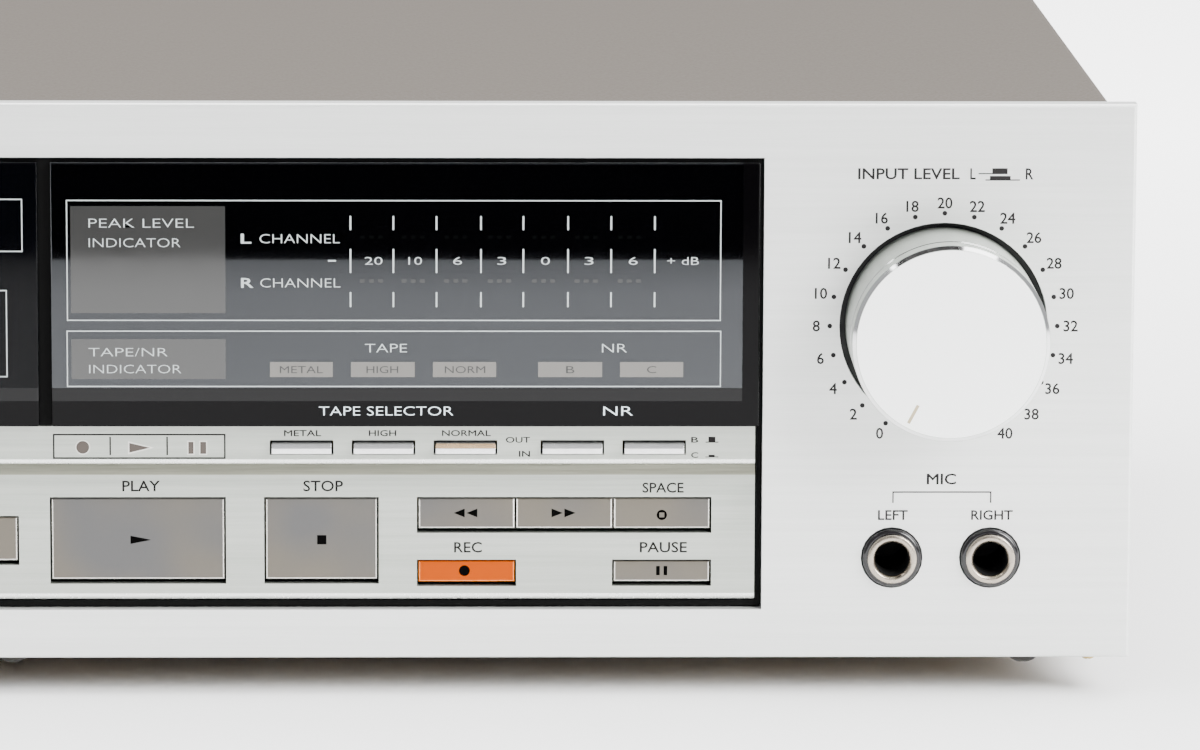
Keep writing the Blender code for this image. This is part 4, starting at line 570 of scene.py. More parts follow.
def lettering(entries, surface, lift=print_lift):
    """Words as thin print. Each entry: text, place across, middle, height, boldness, in millimetres.
    The place is a left and a right edge, or the middle of a word of natural width."""
    whole = bmesh.new()
    for text, across, middle, height, boldness in entries:
        curve = bpy.data.curves.new("word", "FONT")
        curve.body = text
        curve.resolution_u = 3
        curve.offset = min(boldness, 0.0)
        curve.bevel_depth = max(boldness, 0.0)
        curve.bevel_resolution = 0
        curve.extrude = 0.5
        holder = bpy.data.objects.new("word", curve)
        bpy.context.scene.collection.objects.link(holder)
        graph = bpy.context.evaluated_depsgraph_get()
        mesh = bpy.data.meshes.new_from_object(holder.evaluated_get(graph))
        bpy.data.objects.remove(holder)
        across_values = [vertex.co.x for vertex in mesh.vertices]
        up_values = [vertex.co.y for vertex in mesh.vertices]
        text_left, text_width = min(across_values), max(across_values) - min(across_values)
        text_low, text_height = min(up_values), max(up_values) - min(up_values)
        if isinstance(across, tuple):
            left, width = across[0], across[1] - across[0]
        else:
            width = text_width * height / text_height
            left = across - width / 2
        for vertex in mesh.vertices:
            vertex.co = (
                (left + width * (vertex.co.x - text_left) / text_width) * MM,
                surface + print_sink - (lift + print_sink) * (vertex.co.z + 0.5),
                (middle + height * ((vertex.co.y - text_low) / text_height - 0.5)) * MM,
            )
        whole.from_mesh(mesh)
        bpy.data.meshes.remove(mesh)
    bmesh.ops.recalc_face_normals(whole, faces=whole.faces)
    return whole


def thin_piece(name, shape, finish, slot):
    """A print or a lens on a fixed face."""
    placed(made_of(name, shape, finish), "root", slot)


acrylic = look(
    "smoked_acrylic", (0.0004, 0.0004, 0.0006), 0.014, 0.02, 40.0, 5e-7, IOR=1.66, Alpha=0.83,
    Specular_Tint=(0.9, 0.94, 1.0, 1.0),
)
window_border = look("black_border", (0.0009, 0.0008, 0.001), 0.05, 0.07, 40.0, 1e-6, IOR=1.18)
window_margin = look("dark_margin", (0.0006, 0.0006, 0.0008), 0.04, 0.06, 40.0, 1e-6, IOR=1.3)
window_low, window_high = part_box("display_window")
window_face = window_low.y
border_side, border_top, margin_top = 141.7 * MM, 58.34 * MM, 60.9 * MM


def glass_plate(name, low, high, glass):
    """A plate with rounded edges. Its right border and lower border are printed, and the lower margin above the
    lower border is darker and reflects less.
    """
    plate = block(low, high, 0.35 * MM, 3)
    cuts = [((0, 0, 1), border_top), ((0, 0, 1), margin_top)]
    if border_side < high.x:
        cuts.insert(0, ((1, 0, 0), border_side))
    for normal, distance in cuts:
        geometry = plate.verts[:] + plate.edges[:] + plate.faces[:]
        bmesh.ops.bisect_plane(plate, geom=geometry, plane_co=Vector(normal) * distance, plane_no=normal)
    for face in plate.faces:
        centre = face.calc_center_median()
        border = centre.x > border_side or centre.z < border_top
        face.material_index = 1 if border else (2 if centre.z < margin_top else 0)
    return made_of(name, plate, glass, window_border, window_margin)


display = glass_plate("display_window_plate", window_low, window_high, acrylic)
placed(display, "root", "smoked_window", "display_window")

print_grey = look("grey_print", (0.024, 0.024, 0.0235), 0.03, 0.05, 200.0, 1e-6, IOR=1.6)
panels = [(12.4, 42.1, 75.5, 96.3), (12.4, 42.1, 62.65, 70.46)]
thin_piece("display_panels", film(panels, window_face), print_grey, "smoked_window")
print_white = look("white_print", (0.36, 0.39, 0.39), 0.35, 0.5, 900.0, 2e-6)
frames = outline(11.6, 137.5, 74.0, 97.5, 0.21) + outline(11.5, 137.6, 61.1, 72.1, 0.21)
thin_piece("display_outlines", film(frames, window_face), print_white, "smoked_window")
tick_columns = (66.15, 74.4, 82.7, 91.25, 99.4, 108.0, 116.3, 124.7)
for row, (low, high) in enumerate(((76.7, 79.6), (83.35, 88.0), (91.7, 94.4))):
    tick = film([(-0.16, 0.16, low, high)], 0.0)
    tick_places = [(x * MM, window_face, 0.0) for x in tick_columns]
    placed(copies("display_ticks_%d" % row, tick, tick_places, print_white), "root", "smoked_window")
display_words = [
    ("L", (45.1, 47.1), 90.0, 1.9, 0.014), ("CHANNEL", (48.7, 64.1), 90.0, 1.75, -0.014),
    ("R", (45.1, 47.5), 81.4, 1.9, 0.014), ("CHANNEL", (48.8, 64.2), 81.4, 1.75, -0.014),
    ("20", (68.9, 72.3), 85.7, 1.47, -0.01), ("10", (77.3, 79.9), 85.7, 1.47, -0.01),
    ("6", (85.9, 87.6), 85.7, 1.47, -0.01), ("3", (94.4, 96.1), 85.7, 1.47, -0.01),
    ("0", (102.8, 104.5), 85.7, 1.47, -0.01), ("3", (111.2, 112.9), 85.7, 1.47, -0.01),
    ("6", (119.7, 121.4), 85.7, 1.47, -0.01), ("+ dB", (127.1, 133.2), 85.7, 1.47, -0.01),
    ("TAPE", (68.9, 77.0), 68.7, 1.64, -0.012), ("NR", (114.6, 119.4), 68.7, 1.64, -0.012),
]
thin_piece("display_words", lettering(display_words, window_face), print_white, "smoked_window")
panel_headings = [
    ("PEAK LEVEL", (15.9, 36.1), 93.0, 1.72, -0.016), ("INDICATOR", (15.9, 33.5), 89.2, 1.72, -0.016),
    ("TAPE/NR", (15.7, 30.9), 67.9, 1.64, -0.016), ("INDICATOR", (15.8, 33.5), 64.6, 1.64, -0.016),
]
heading_shape = lettering(panel_headings, window_face - print_lift, 0.02 * MM)
thin_piece("display_panel_words", heading_shape, print_white, "smoked_window")
minus = film([(61.85, 63.35, 85.55, 85.85)], window_face)
thin_piece("display_minus", minus, print_white, "smoked_window")
heading_white = look("heading_print", (0.6, 0.68, 0.72), 0.35, 0.5, 900.0, 2e-6)
headings = [("TAPE SELECTOR", (60.0, 85.9), 56.4, 1.75, -0.01), ("NR", (114.9, 120.6), 56.4, 1.75, -0.01)]
thin_piece("display_headings", lettering(headings, window_face), heading_white, "smoked_window")
pale_field = look("pale_field", (0.12, 0.114, 0.106), 0.3, 0.4, 2400.0, 4e-6)
field_sides = [(50.6, 62.7), (66.2, 78.5), (82.0, 94.2), (102.3, 114.65), (118.1, 130.3)]
fields = film([(left, right, 63.04, 65.98) for left, right in field_sides], window_face)
thin_piece("display_fields", fields, pale_field, "smoked_window")
field_grey = look("field_lettering", (0.02, 0.02, 0.02), 0.3, 0.4, 900.0, 2e-6)
field_words = [
    ("METAL", (52.5, 60.8), 64.5, 1.38, -0.004), ("HIGH", (69.2, 75.3), 64.5, 1.38, -0.004),
    ("NORM", (84.3, 92.1), 64.5, 1.38, -0.004), ("B", (107.7, 109.3), 64.5, 1.38, -0.004),
    ("C", (123.3, 125.1), 64.5, 1.38, -0.004),
]
field_shape = lettering(field_words, window_face - print_lift, 0.02 * MM)
thin_piece("display_field_words", field_shape, field_grey, "smoked_window")
# The lower row is lighter and mirrors more than the upper: painted reflection of the bright table in the lower
# part of the glass, painted shade in the dark upper part.
meter_rows = {
    "left": (90.3, look("meter_dot_dim", (0.0012, 0.0014, 0.0014), 0.014, 0.02, 40.0, 5e-7, IOR=1.2)),
    "right": (81.8, look("meter_dot", (0.009, 0.0095, 0.0095), 0.014, 0.02, 40.0, 5e-7, IOR=1.62)),
}
for channel, (level, finish) in meter_rows.items():
    dots = [
        (cell + shift - 0.47, cell + shift + 0.47, level - 0.33, level + 0.33)
        for cell in (70.2, 78.2, 86.4, 94.8, 103.3, 111.5, 119.8) for shift in (-1.76, 0.0, 1.76)
    ]
    thin_piece("meter_dots_" + channel, film(dots, window_face), finish, "smoked_window")


# Control strip: a formed aluminium plate with a horizontal hairline, an upper face, a slanted
# groove and a lower face. Its openings are pressed, so their edges are slightly rounded.
def brushed(name, dark, light, low_rough, high_rough, depth, metallic):
    """Aluminium with fine hairlines that run from left to right."""
    made = new_finish(name, light, high_rough, metallic)
    tree = made.node_tree
    stretch = (0.012, 1.0, 1.0)
    lines = noise(tree, point_source(tree, stretch), 5200.0, 4.0, 0.7)
    streaks = noise(tree, point_source(tree, stretch), 900.0, 2.0)
    mix = tree.nodes.new("ShaderNodeMath")
    mix.operation = "ADD"
    wire(tree, lines, mix.inputs[0])
    wire(tree, streaks, mix.inputs[1])
    half = tree.nodes.new("ShaderNodeMath")
    half.operation = "MULTIPLY"
    half.inputs[1].default_value = 0.5
    wire(tree, mix.outputs[0], half.inputs[0])
    feed(made, "Base Color", shades(tree, half.outputs[0], dark, light, 0.36, 0.6))
    feed(made, "Roughness", shades(tree, lines, low_rough, high_rough))
    relief(made, lines, depth)
    return made


def softened(piece, width):
    """The piece with its sharp edges rounded."""
    soften = piece.modifiers.new("soften", "BEVEL")
    soften.width = width
    soften.segments = 2
    soften.limit_method = "ANGLE"
    soften.angle_limit = math.radians(32.0)
    settled(piece)
    piece.data.shade_smooth()
    piece.data.set_sharp_from_angle(angle=math.radians(40))
    weigh = piece.modifiers.new("weigh", "WEIGHTED_NORMAL")
    weigh.keep_sharp = True
    return settled(piece)


def drawn_along(outline_points, left, right):
    """A bar along X, from its outline in depth and height."""
    shape = bmesh.new()
    near, far = [[shape.verts.new((x, y, z)) for y, z in outline_points] for x in (left, right)]
    count = len(outline_points)
    shape.faces.new(near)
    shape.faces.new(far)
    for step in range(count):
        following = (step + 1) % count
        shape.faces.new((near[step], near[following], far[following], far[step]))
    bmesh.ops.recalc_face_normals(shape, faces=shape.faces)
    return shape


def deep(distance):
    """A place in depth, in millimetres behind the panel's face."""
    return front_y + distance * MM


strip_low, strip_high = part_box("control_strip")
strip_faces = {"upper": deep(1.3), "groove": deep(1.9), "lower": deep(0.9), "rear": deep(3.1)}
groove_top, groove_low = strip_high.z - 7.55 * MM, strip_high.z - 9.5 * MM
lip_height, lip_depth, foot_round = 1.0 * MM, 0.6 * MM, 1.3 * MM


def lip(face, edge, depth, height):
    """A rounded lip from a face down to an edge, as pairs of a depth and a height."""
    return [(face + depth * (1 - math.cos(a)), edge + height * (1 - math.sin(a))) for a in quarter_turn()]


section = [
    (strip_faces["rear"], strip_high.z), (strip_faces["upper"], strip_high.z),
    *lip(strip_faces["upper"], groove_top, lip_depth, lip_height), (strip_faces["lower"], groove_low),
    *lip(strip_faces["lower"], strip_low.z, foot_round, foot_round), (strip_faces["rear"], strip_low.z),
]
strip = made_of("control_strip_plate", drawn_along(section, strip_low.x, strip_high.x))
flange_spread = 1.1 * MM
selectors = ("metal", "high", "normal", "nr_switch", "nr_type")


def opened(low, high, gap, foot_gap):
    """An opening in the strip round a cap, whose flanges stay behind it."""
    foot, crown = low.z + flange_spread - foot_gap, high.z - flange_spread + gap
    carved(strip, block((low.x - gap, deep(-2), foot), (high.x + gap, deep(5), crown)))


for name in ("play_key", "stop_key", "record_key", "pause_key", "eject_key"):
    opened(*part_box(name), 0.3 * MM, 0.8 * MM)
opened(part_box("rewind_key")[0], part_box("space_key")[1], 0.3 * MM, 0.8 * MM)
for body in selectors:
    opened(*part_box(body + "_button"), 0.4 * MM, 0.4 * MM)
strip_aluminium = brushed("strip_aluminium", (0.37, 0.39, 0.355), (0.45, 0.47, 0.43), 0.28, 0.42, 2e-6, 0.8)
# The groove takes a darker, khaki copy of the brushed aluminium: painted shade.
painted_groove_shade = brushed("groove_aluminium_painted_shade", (0.23, 0.23, 0.18), (0.29, 0.29, 0.23), 0.3, 0.42, 2e-6, 0.8)
# The lips' pale finish on the same aluminium is a painted highlight.
strip_lip_painted_highlight = look("strip_lip_painted_highlight", (0.82, 0.83, 0.8), 0.2, 0.3, 900.0, 2e-6, 0.7)
softened(strip, 0.14 * MM)
strip.data.materials.clear()
for finish in (strip_aluminium, painted_groove_shade, strip_lip_painted_highlight):
    strip.data.materials.append(finish)
for face in strip.data.polygons:
    # Groove faces get the painted-shade finish.
    if groove_low + 0.1 * MM < face.center.z < groove_top - 0.05 * MM:
        face.material_index = 1
    # Lip faces turned forward and down take the pale finish: a painted highlight where they mirror the white
    # table.
    upper_lip = 0.1 * MM < face.center.z - groove_top < 0.95 * MM
    lower_lip = 0.15 * MM < face.center.z - strip_low.z < 1.2 * MM
    if (upper_lip or lower_lip) and face.normal.y < -0.3 and -0.95 < face.normal.z < -0.05:
        face.material_index = 2
placed(strip, "root", "strip_aluminium", "control_strip")

strip_ink = look("strip_ink", (0.008, 0.007, 0.007), 0.5, 0.65, 900.0, 2e-6, Specular_IOR_Level=0.08)
upper_face, lower_face = strip_faces["upper"], strip_faces["lower"]
symbol_box = outline(8.55, 41.9, 46.57, 51.48, 0.3) + [(19.45, 19.75, 47.3, 50.9), (30.45, 30.75, 47.3, 50.9)]
push_marks = [
    (134.8, 137.3, 49.75, 49.93), (135.35, 136.7, 49.93, 50.9),
    (134.8, 137.3, 46.85, 47.0), (135.4, 136.6, 47.0, 47.35),
]
thin_piece("strip_lines", film(symbol_box + push_marks, upper_face), strip_ink, "strip_aluminium")
upper_words = [
    ("METAL", (53.2, 60.4), 51.62, 1.2, 0.012), ("HIGH", (69.6, 74.9), 51.62, 1.2, 0.012),
    ("NORMAL", (83.75, 93.2), 51.62, 1.2, 0.012), ("OUT", (96.1, 100.8), 50.3, 1.15, 0.012),
    ("IN", (98.65, 100.8), 47.55, 1.15, 0.012), ("B", (132.0, 133.4), 50.3, 1.1, 0.014),
    ("C", (132.0, 133.4), 47.3, 1.1, 0.014),
]
thin_piece("strip_upper_words", lettering(upper_words, upper_face), strip_ink, "strip_aluminium")
lower_words = [
    ("PLAY", (21.9, 29.2), 41.3, 2.1, 0.012), ("STOP", (56.9, 64.6), 41.3, 2.15, 0.012),
    ("SPACE", (122.6, 130.6), 40.95, 2.0, 0.012), ("REC", (86.1, 91.5), 29.2, 2.1, 0.012),
    ("PAUSE", (122.15, 131.3), 29.2, 2.1, 0.012),
]
thin_piece("strip_lower_words", lettering(lower_words, lower_face), strip_ink, "strip_aluminium")

# The lamps in the symbol box: brown lenses, a disc, a wedge and two bars, each with a pale rim.
lamp_brown = look("lamp_lens", (0.062, 0.05, 0.043), 0.35, 0.45, 700.0, 4e-6, Specular_IOR_Level=0.25)
lamp_rim = look("lamp_rim", (0.6, 0.59, 0.55), 0.3, 0.45, 700.0, 4e-6)


def flat_shape(points, surface, lift):
    """A flat shape, its points given across and up in millimetres."""
    shape = bmesh.new()
    front = [shape.verts.new((x * MM, surface - lift, z * MM)) for x, z in points]
    back = [shape.verts.new((x * MM, surface + print_sink, z * MM)) for x, z in points]
    shape.faces.new(front)
    shape.faces.new(back)
    for step in range(len(points)):
        following = (step + 1) % len(points)
        shape.faces.new((front[step], front[following], back[following], back[step]))
    bmesh.ops.recalc_face_normals(shape, faces=shape.faces)
    return shape


def ring_points(x, z, radius, steps=32):
    return [(x + radius * math.cos(a), z + radius * math.sin(a)) for a in
            [2 * math.pi * step / steps for step in range(steps)]]


def four(left, right, low, high):
    return [(left, low), (right, low), (right, high), (left, high)]


lamp_shapes = [
    (ring_points(14.3, 48.84, 1.25), ring_points(14.3, 48.84, 1.45)),
    ([(23.3, 47.8), (27.3, 48.75), (23.3, 49.7)], [(23.05, 47.45), (28.1, 48.75), (23.05, 50.05)]),
    (four(34.7, 35.7, 47.56, 49.91), four(34.5, 35.9, 47.36, 50.11)),
    (four(37.0, 38.15, 47.56, 49.91), four(36.8, 38.35, 47.36, 50.11)),
]
rims = together([flat_shape(rim, upper_face, 0.02 * MM) for lens, rim in lamp_shapes])
lenses = together([flat_shape(lens, upper_face, 0.05 * MM) for lens, rim in lamp_shapes])
thin_piece("lamp_rims", rims, lamp_rim, "strip_aluminium")
thin_piece("lamp_lenses", lenses, lamp_brown, "strip_aluminium")


# Transport keys: caps of satin metal plate with a cloudy, slightly stained face and polished
# chamfers at the sides and below; the upper chamfer keeps the darker face finish, painted shade
# along the top edge. Each is held behind the strip by a flange. The record key is orange. Symbols are printed.
def key_shape(low, high, flange_depth, spread, chamfer):
    """A cap with a chamfered face and a wider flange above and below its rear end."""
    foot, crown = low.z + spread, high.z - spread
    cap = block((low.x, low.y, foot), (high.x, high.y, crown))
    face_edges = [
        edge for edge in cap.edges if all(abs(vertex.co.y - low.y) < 0.01 * MM for vertex in edge.verts)
    ]
    bmesh.ops.bevel(cap, geom=face_edges, offset=chamfer, segments=2, affect="EDGES", profile=0.5)
    for face in cap.faces:
        middle = face.calc_center_median()
        rounded = low.y + 0.005 * MM < middle.y < low.y + chamfer * 1.1
        # The upper chamfer keeps the face's finish: painted shade along the top edge.
        face.material_index = 1 if rounded and middle.z < crown - chamfer else 0
    flange = block((low.x, high.y - flange_depth, foot - spread), (high.x, high.y, crown + spread))
    return together([cap, flange])


key_satin = look("key_satin", (0.11, 0.105, 0.095), 0.34, 0.44, 1500.0, 6e-6, 0.55)
satin_tree = key_satin.node_tree
satin_cloud = noise(satin_tree, point_source(satin_tree), 52.0, 1.5, 0.5)
stain = shades(satin_tree, satin_cloud, (0.085, 0.083, 0.083), (0.113, 0.1, 0.081), 0.3, 0.6)
feed(key_satin, "Base Color", stain)
key_edge = look("key_edge", (0.86, 0.83, 0.78), 0.22, 0.3, 900.0, 2e-6, 0.75)
record_orange = look("record_orange", (0.33, 0.048, 0.0), 0.45, 0.55, 700.0, 4e-6, Specular_IOR_Level=0.02)
orange_edge = look("orange_edge", (0.85, 0.2, 0.02), 0.25, 0.32, 700.0, 2e-6)
for body in ("play", "stop", "rewind", "fast_forward", "space", "record", "pause", "eject"):
    name = body + "_key"
    finishes = (record_orange, orange_edge) if body == "record" else (key_satin, key_edge)
    shape = key_shape(*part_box(name), 1.6 * MM, flange_spread, 0.3 * MM)
    slot = "record_orange" if body == "record" else "key_satin"
    placed(made_of(name + "_cap", shape, *finishes), body, slot, name)

symbol_black = look("symbol_black", (0.0006, 0.0005, 0.0005), 0.45, 0.6, 900.0, 2e-6, Specular_IOR_Level=0.02)
key_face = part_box("play_key")[0].y


def wedge(tip, base, middle, half):
    return [(base, middle - half), (tip, middle), (base, middle + half)]


symbols = {
    "play": [wedge(27.4, 23.4, 30.62, 0.8)],
    "stop": [four(59.55, 61.35, 29.72, 31.52)],
    "rewind": [wedge(86.05, 88.15, 35.9, 0.85), wedge(88.5, 90.6, 35.9, 0.85)],
    "fast_forward": [wedge(107.15, 105.0, 35.9, 0.85), wedge(109.65, 107.5, 35.9, 0.85)],
    "record": [ring_points(88.1, 24.5, 1.05)],
    "pause": [four(125.35, 126.05, 23.6, 25.4), four(126.8, 127.5, 23.6, 25.4)],
}
for body, shapes in symbols.items():
    mark = together([flat_shape(points, key_face, print_lift) for points in shapes])
    placed(made_of(body + "_symbol", mark, symbol_black), body, "key_satin")
ring_section = mm((0.68, -0.03), (1.0, -0.03), (1.0, 0.01), (0.68, 0.01))
space_ring = turned(ring_section, 40, (126.4 * MM, key_face, 35.5 * MM), "Y")
space_square = film(outline(125.72, 127.08, 34.82, 36.18, 0.2), key_face)
placed(made_of("space_symbol", together([space_ring, space_square]), symbol_black), "space", "key_satin")


# Selector buttons: chromed caps, each with an upright lower face and an upper face that leans back,
# so that the halves mirror the table and the room. The normal button has a warm tint on its top.
chrome = look("selector_chrome", (0.82, 0.82, 0.82), 0.16, 0.26, 900.0, 2e-6, 0.9)
warm_chrome = look("warm_chrome", (0.9, 0.62, 0.36), 0.2, 0.3, 900.0, 2e-6, 0.8)
for body in selectors:
    name = body + "_button"
    low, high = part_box(name)
    bottom, top = low.z + flange_spread, high.z - flange_spread
    ridge = bottom + 0.56 * (top - bottom)
    heel = high.y - 0.8 * MM
    section = [
        (low.y + 0.1 * MM, bottom), (low.y, bottom + 0.1 * MM), (low.y, ridge), (low.y + 0.5 * MM, top - 0.1 * MM),
        (low.y + 0.62 * MM, top), (heel, top), (heel, top + flange_spread), (high.y, top + flange_spread),
        (high.y, bottom - flange_spread), (heel, bottom - flange_spread), (heel, bottom),
    ]
    shape = drawn_along(section, low.x, high.x)
    for face in shape.faces:
        middle = face.calc_center_median()
        face.material_index = int(body == "normal" and middle.z > ridge and middle.y < low.y + 0.6 * MM)
    cap = softened(made_of(name + "_cap", shape, chrome, warm_chrome), 0.08 * MM)
    placed(cap, body, "selector_chrome", name)


# Cassette door: a smoked acrylic plate with a polished face, fixed to a black moulded carrier that
# holds the cassette. The same two outlines as on the display run across it. The door tips forward.
door_low, door_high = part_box("door_window")
door_acrylic = look(
    "door_acrylic", (0.0005, 0.0006, 0.001), 0.03, 0.05, 40.0, 1e-6, IOR=1.22, Alpha=0.9
)
door_pane = glass_plate("door_window_plate", door_low, door_high, door_acrylic)
placed(door_pane, "door", "smoked_window", "door_window")
carrier_black = look("carrier_black", (0.006, 0.006, 0.006), 0.45, 0.6, 900.0, 3e-5)
dress(["door_carrier"], carrier_black)
door_frames = outline(-141.5, 3.2, 87.4, 97.7, 0.21) + outline(-141.5, 0.1, 63.0, 80.0, 0.21)
door_lines = made_of("door_outlines", film(door_frames, door_low.y), print_white)
placed(door_lines, "door", "smoked_window")


# Front panel: a thick aluminium plate with a fine, even horizontal brushing and small rounded
# edges. Lettering, numbers and dots are printed in dark grey.
panel_aluminium = brushed("panel_aluminium", (0.7, 0.71, 0.695), (0.76, 0.77, 0.755), 0.36, 0.44, 8e-7, 0.6)
dress(["front_panel"], panel_aluminium)
panel_face = front_y
knob_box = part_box("level_knob_front")
knob_x, knob_z = (knob_box[0].x + knob_box[1].x) / 2 / MM, (knob_box[0].z + knob_box[1].z) / 2 / MM
panel_ink = look("panel_ink", (0.01, 0.009, 0.009), 0.5, 0.65, 900.0, 2e-6, Specular_IOR_Level=0.15)
scale_angles = [math.radians(-150 + 15 * step) for step in range(21)]
dot_ring = 22.0
dot_places = [
    ((knob_x + dot_ring * math.sin(a)) * MM, panel_face, (knob_z + dot_ring * math.cos(a)) * MM)
    for a in scale_angles
]
dot = turned(mm((0, -0.03), (0.475, -0.03), (0.475, 0.01), (0, 0.01)), 20, axis="Y")
placed(copies("scale_dots", dot, dot_places, panel_ink), "root", "panel_aluminium")
scale_numbers = []
for step, a in enumerate(scale_angles):
    reach = 24.0 + 0.6 * abs(math.sin(a))
    scale_numbers.append((str(2 * step), knob_x + reach * math.sin(a), knob_z + reach * math.cos(a), 2.2, 0.016))
thin_piece("scale_numbers", lettering(scale_numbers, panel_face), panel_ink, "panel_aluminium")
panel_words = [
    ("INPUT LEVEL", (163.8, 183.4), 102.5, 2.18, 0.018), ("L", (185.4, 186.5), 102.5, 2.18, 0.018),
    ("R", (196.1, 197.6), 102.5, 2.18, 0.018), ("MIC", (177.7, 183.4), 42.8, 2.17, 0.018),
    ("LEFT", (168.3, 174.1), 35.7, 1.95, 0.018), ("RIGHT", (186.4, 194.5), 35.7, 1.95, 0.018),
    ("POWER", (-187.0, -174.2), 98.6, 2.18, 0.018), ("PHONES", (-186.6, -174.6), 42.8, 2.17, 0.018),
]
thin_piece("panel_words", lettering(panel_words, panel_face), panel_ink, "panel_aluminium")
bracket = [(171.05, 190.3, 40.1, 40.37), (171.05, 171.32, 38.1, 40.1), (190.03, 190.3, 38.1, 40.1)]
level_marks = [
    (187.0, 192.6, 102.45, 102.66), (189.65, 192.6, 102.66, 103.6),
    (189.2, 193.2, 101.42, 102.1), (188.35, 195.0, 101.2, 101.42),
]
thin_piece("panel_lines", film(bracket + level_marks, panel_face), panel_ink, "panel_aluminium")


# Level knob: two turned aluminium parts on one axis, a front disc and a longer rear ring, with a fine
# groove between them. The disc has a satin face, a polished chamfer and one engraved index line.
knob_satin = look("knob_satin", (0.93, 0.94, 0.93), 0.38, 0.46, 1800.0, 3e-6, 0.25)
knob_side = look("knob_side", (0.45, 0.48, 0.44), 0.28, 0.38, 1200.0, 2e-6, 0.8)
knob_chamfer = look("knob_chamfer", (0.8, 0.8, 0.8), 0.08, 0.14, 900.0, 1e-6, 1.0)
disc_low, disc_high = knob_box
ring_low, ring_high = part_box("level_knob_rear")
knob_radius = (disc_high.x - disc_low.x) / 2
disc_depth = disc_high.y - disc_low.y
face_centre = (knob_x * MM, disc_low.y, knob_z * MM)
bore, bore_floor, chamfer = 1.8 * MM, disc_depth - 2.2 * MM, 0.72 * MM
disc_profile = [
    (0.0, 0.0), (knob_radius - chamfer - 0.1 * MM, 0.0), (knob_radius - chamfer, 0.03 * MM),
    (knob_radius - 0.06 * MM, chamfer), (knob_radius, chamfer + 0.08 * MM), (knob_radius, disc_depth - 0.12 * MM),
    (knob_radius - 0.12 * MM, disc_depth), (bore, disc_depth), (bore, bore_floor), (0.0, bore_floor),
]
disc = turned(disc_profile, 128, face_centre, "Y")
for face in disc.faces:
    middle = face.calc_center_median()
    depth = middle.y - disc_low.y
    reach = math.hypot(middle.x - face_centre[0], middle.z - face_centre[2])
    if depth > 0.01 * MM:
        face.material_index = 2 if depth < chamfer and reach > knob_radius - chamfer else 1
front_disc = made_of("level_knob_disc", disc, knob_satin, knob_side, knob_chamfer)
placed(front_disc, "knob_front", "knob_aluminium", "level_knob_front")
ring_depth = ring_high.y - ring_low.y
ring_bore, ring_chamfer = 3.1 * MM, 0.42 * MM
ring_profile = [
    (ring_bore, 0.0), (knob_radius - ring_chamfer, 0.0), (knob_radius, ring_chamfer),
    (knob_radius, ring_depth), (ring_bore, ring_depth),
]
ring = turned(ring_profile, 128, (face_centre[0], ring_low.y, face_centre[2]), "Y")
for face in ring.faces:
    depth = face.calc_center_median().y - ring_low.y
    face.material_index = int(0.01 * MM < depth < ring_chamfer - 0.01 * MM)
rear_ring = made_of("level_knob_ring", ring, knob_side, knob_chamfer)
placed(rear_ring, "knob_rear", "knob_aluminium", "level_knob_rear")
index_gold = look("index_line", (0.36, 0.3, 0.19), 0.3, 0.42, 900.0, 2e-6, 0.3)
index_angle = math.radians(-152)
outward = Vector((math.sin(index_angle), math.cos(index_angle)))
sideways = Vector((outward.y, -outward.x)) * 0.3
hub = Vector((knob_x, knob_z))
index_points = [
    tuple(hub + outward * reach + side * sideways)
    for reach, side in ((13.3, -1), (17.2, -1), (17.2, 1), (13.3, 1))
]
index_line = made_of("level_index", flat_shape(index_points, disc_low.y, 0.02 * MM), index_gold)
placed(index_line, "knob_front", "knob_aluminium")


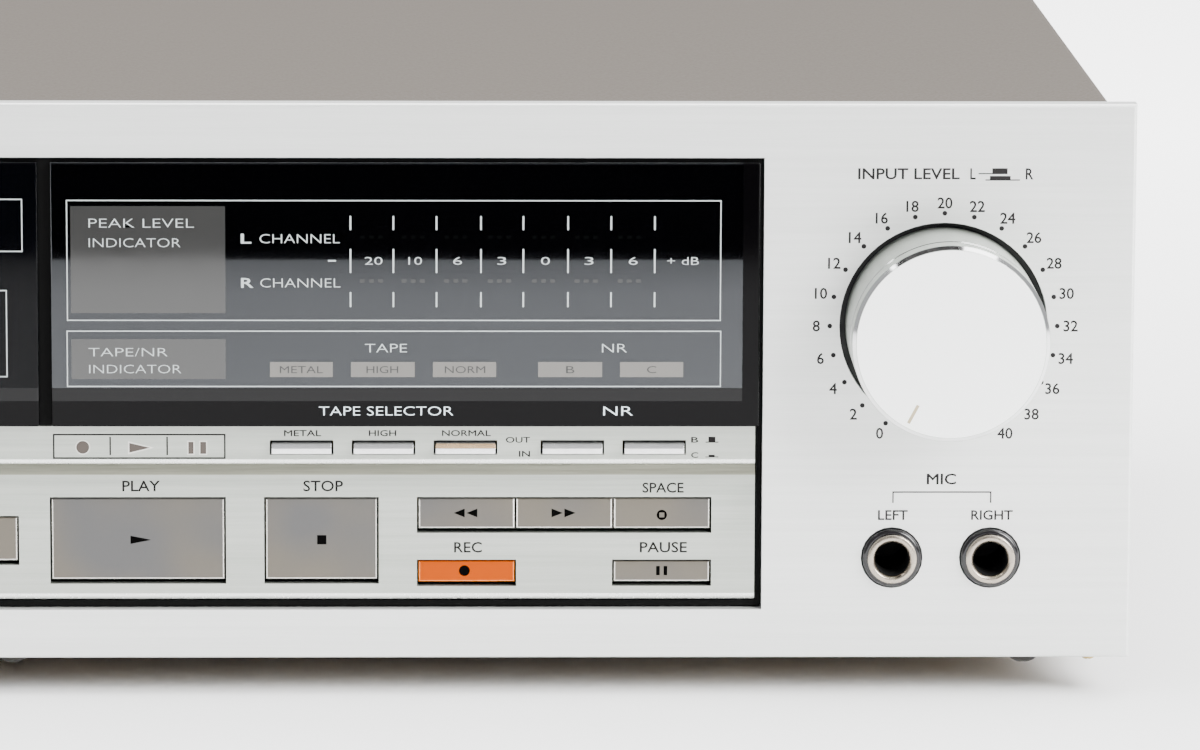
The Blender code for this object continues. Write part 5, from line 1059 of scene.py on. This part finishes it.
# Sockets: a body of black plastic behind the panel with a glossy collar round the hole, and a
# nickel-plated nut with a countersunk bore screwed into it. Its bore wall takes the dark plastic finish, painted
# shade inside the hole.
collar_black = look("collar_black", (0.004, 0.003, 0.004), 0.1, 0.18, 900.0, 2e-6)
for socket in ("mic_left", "mic_right", "phones"):
    jack_low, jack_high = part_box(socket + "_jack")
    centre = ((jack_low.x + jack_high.x) / 2, panel_face, (jack_low.z + jack_high.z) / 2)
    housing = block((jack_low.x, deep(4.7), jack_low.z), jack_high, 0.4 * MM)
    body = made_of(socket + "_body", housing, dark_plastic)
    carved(body, turned(mm((0, -0.1), (3.95, -0.1), (3.95, 22), (0, 22)), 40, centre, "Y"))
    placed(body, "root", "dark_plastic", socket + "_jack")
    shoulder = [(5.72 - 0.7 * (1 - math.cos(a)), -0.8 * math.sin(a)) for a in quarter_turn()]
    collar_profile = mm((4.0, 4.7), (5.5, 4.7), (5.5, 0.05), *shoulder, (4.0, -0.8))
    collar = made_of(socket + "_collar", turned(collar_profile, 72, centre, "Y"), collar_black)
    placed(collar, "root", "dark_plastic")
    nut_profile = mm(
        (3.3, 5.5), (3.3, -1.55), (3.42, -1.75), (3.72, -2.1), (3.85, -2.18), (4.0, -2.2), (4.45, -2.2),
        (4.68, -2.1), (4.775, -1.85), (4.775, -1.1), (3.9, -1.1), (3.9, 5.5),
    )
    nut_shape = turned(nut_profile, 72, centre, "Y")
    # Faces of the bore wall take the dark plastic finish: painted shade inside the hole.
    for face in nut_shape.faces:
        middle = face.calc_center_median()
        reach = math.hypot(middle.x - centre[0], middle.z - centre[2])
        face.material_index = int(reach < 3.32 * MM)
    nut = made_of(socket + "_ring", nut_shape, nickel, dark_plastic)
    placed(nut, "root", "socket_nickel", socket + "_nut")


# Power button: a satin aluminium cap on a long stem, with rounded front edges. A flange at its rear
# end holds it in the panel, where it slides and works the switch behind.
# As on the keys, the upper chamfer keeps the satin finish: painted shade along the top edge.
stem = key_shape(*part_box("power_button"), 2.3 * MM, 1.2 * MM, 0.6 * MM)
placed(made_of("power_button_cap", stem, knob_side, knob_chamfer), "power", "knob_aluminium", "power_button")


# Top cover: one sheet of steel bent down at both sides, painted grey-brown with a smooth, low
# sheen. Dark screws hold its sides to the chassis.
cover_low, cover_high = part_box("top_cover")
sheet, bend = 1.0 * MM, 1.6 * MM


def bent(half, top, radius, low):
    """The outer or inner run of the bent sheet, from the left foot over the top to the right foot."""
    left = [(-half + radius * (1 - math.cos(a)), top - radius * (1 - math.sin(a))) for a in quarter_turn()]
    right = [(-x, z) for x, z in reversed(left)]
    return [(-half, low), *left, *right, (half, low)]


outer_run = bent(cover_high.x, cover_high.z, bend, cover_low.z)
inner_run = bent(cover_high.x - sheet, cover_high.z - sheet, bend - sheet, cover_low.z)
cover_shape = drawn_along(outer_run + inner_run[::-1], cover_low.y, cover_high.y)
for vertex in cover_shape.verts:
    vertex.co = (vertex.co.y, vertex.co.x, vertex.co.z)
bmesh.ops.recalc_face_normals(cover_shape, faces=cover_shape.faces)
cover_paint = look("cover_paint", (0.092, 0.076, 0.062), 0.36, 0.46, 1600.0, 4e-6, 0.3)
cover = softened(made_of("cover_sheet", cover_shape, cover_paint), 0.12 * MM)
placed(cover, "root", "cover_paint", "top_cover")
for side, name in ((1, "cover_screws_right"), (-1, "cover_screws_left")):
    side_x = side * (cover_high.x - sunk)
    side_places = [(side_x, deep(depth), z * MM) for depth, z in ((22, 22), (235, 22), (22, 96), (235, 96))]
    screws(name, 3.3, 2.0, side_places, black_screw, (0, side * math.pi / 2, 0), seed=17 + side)
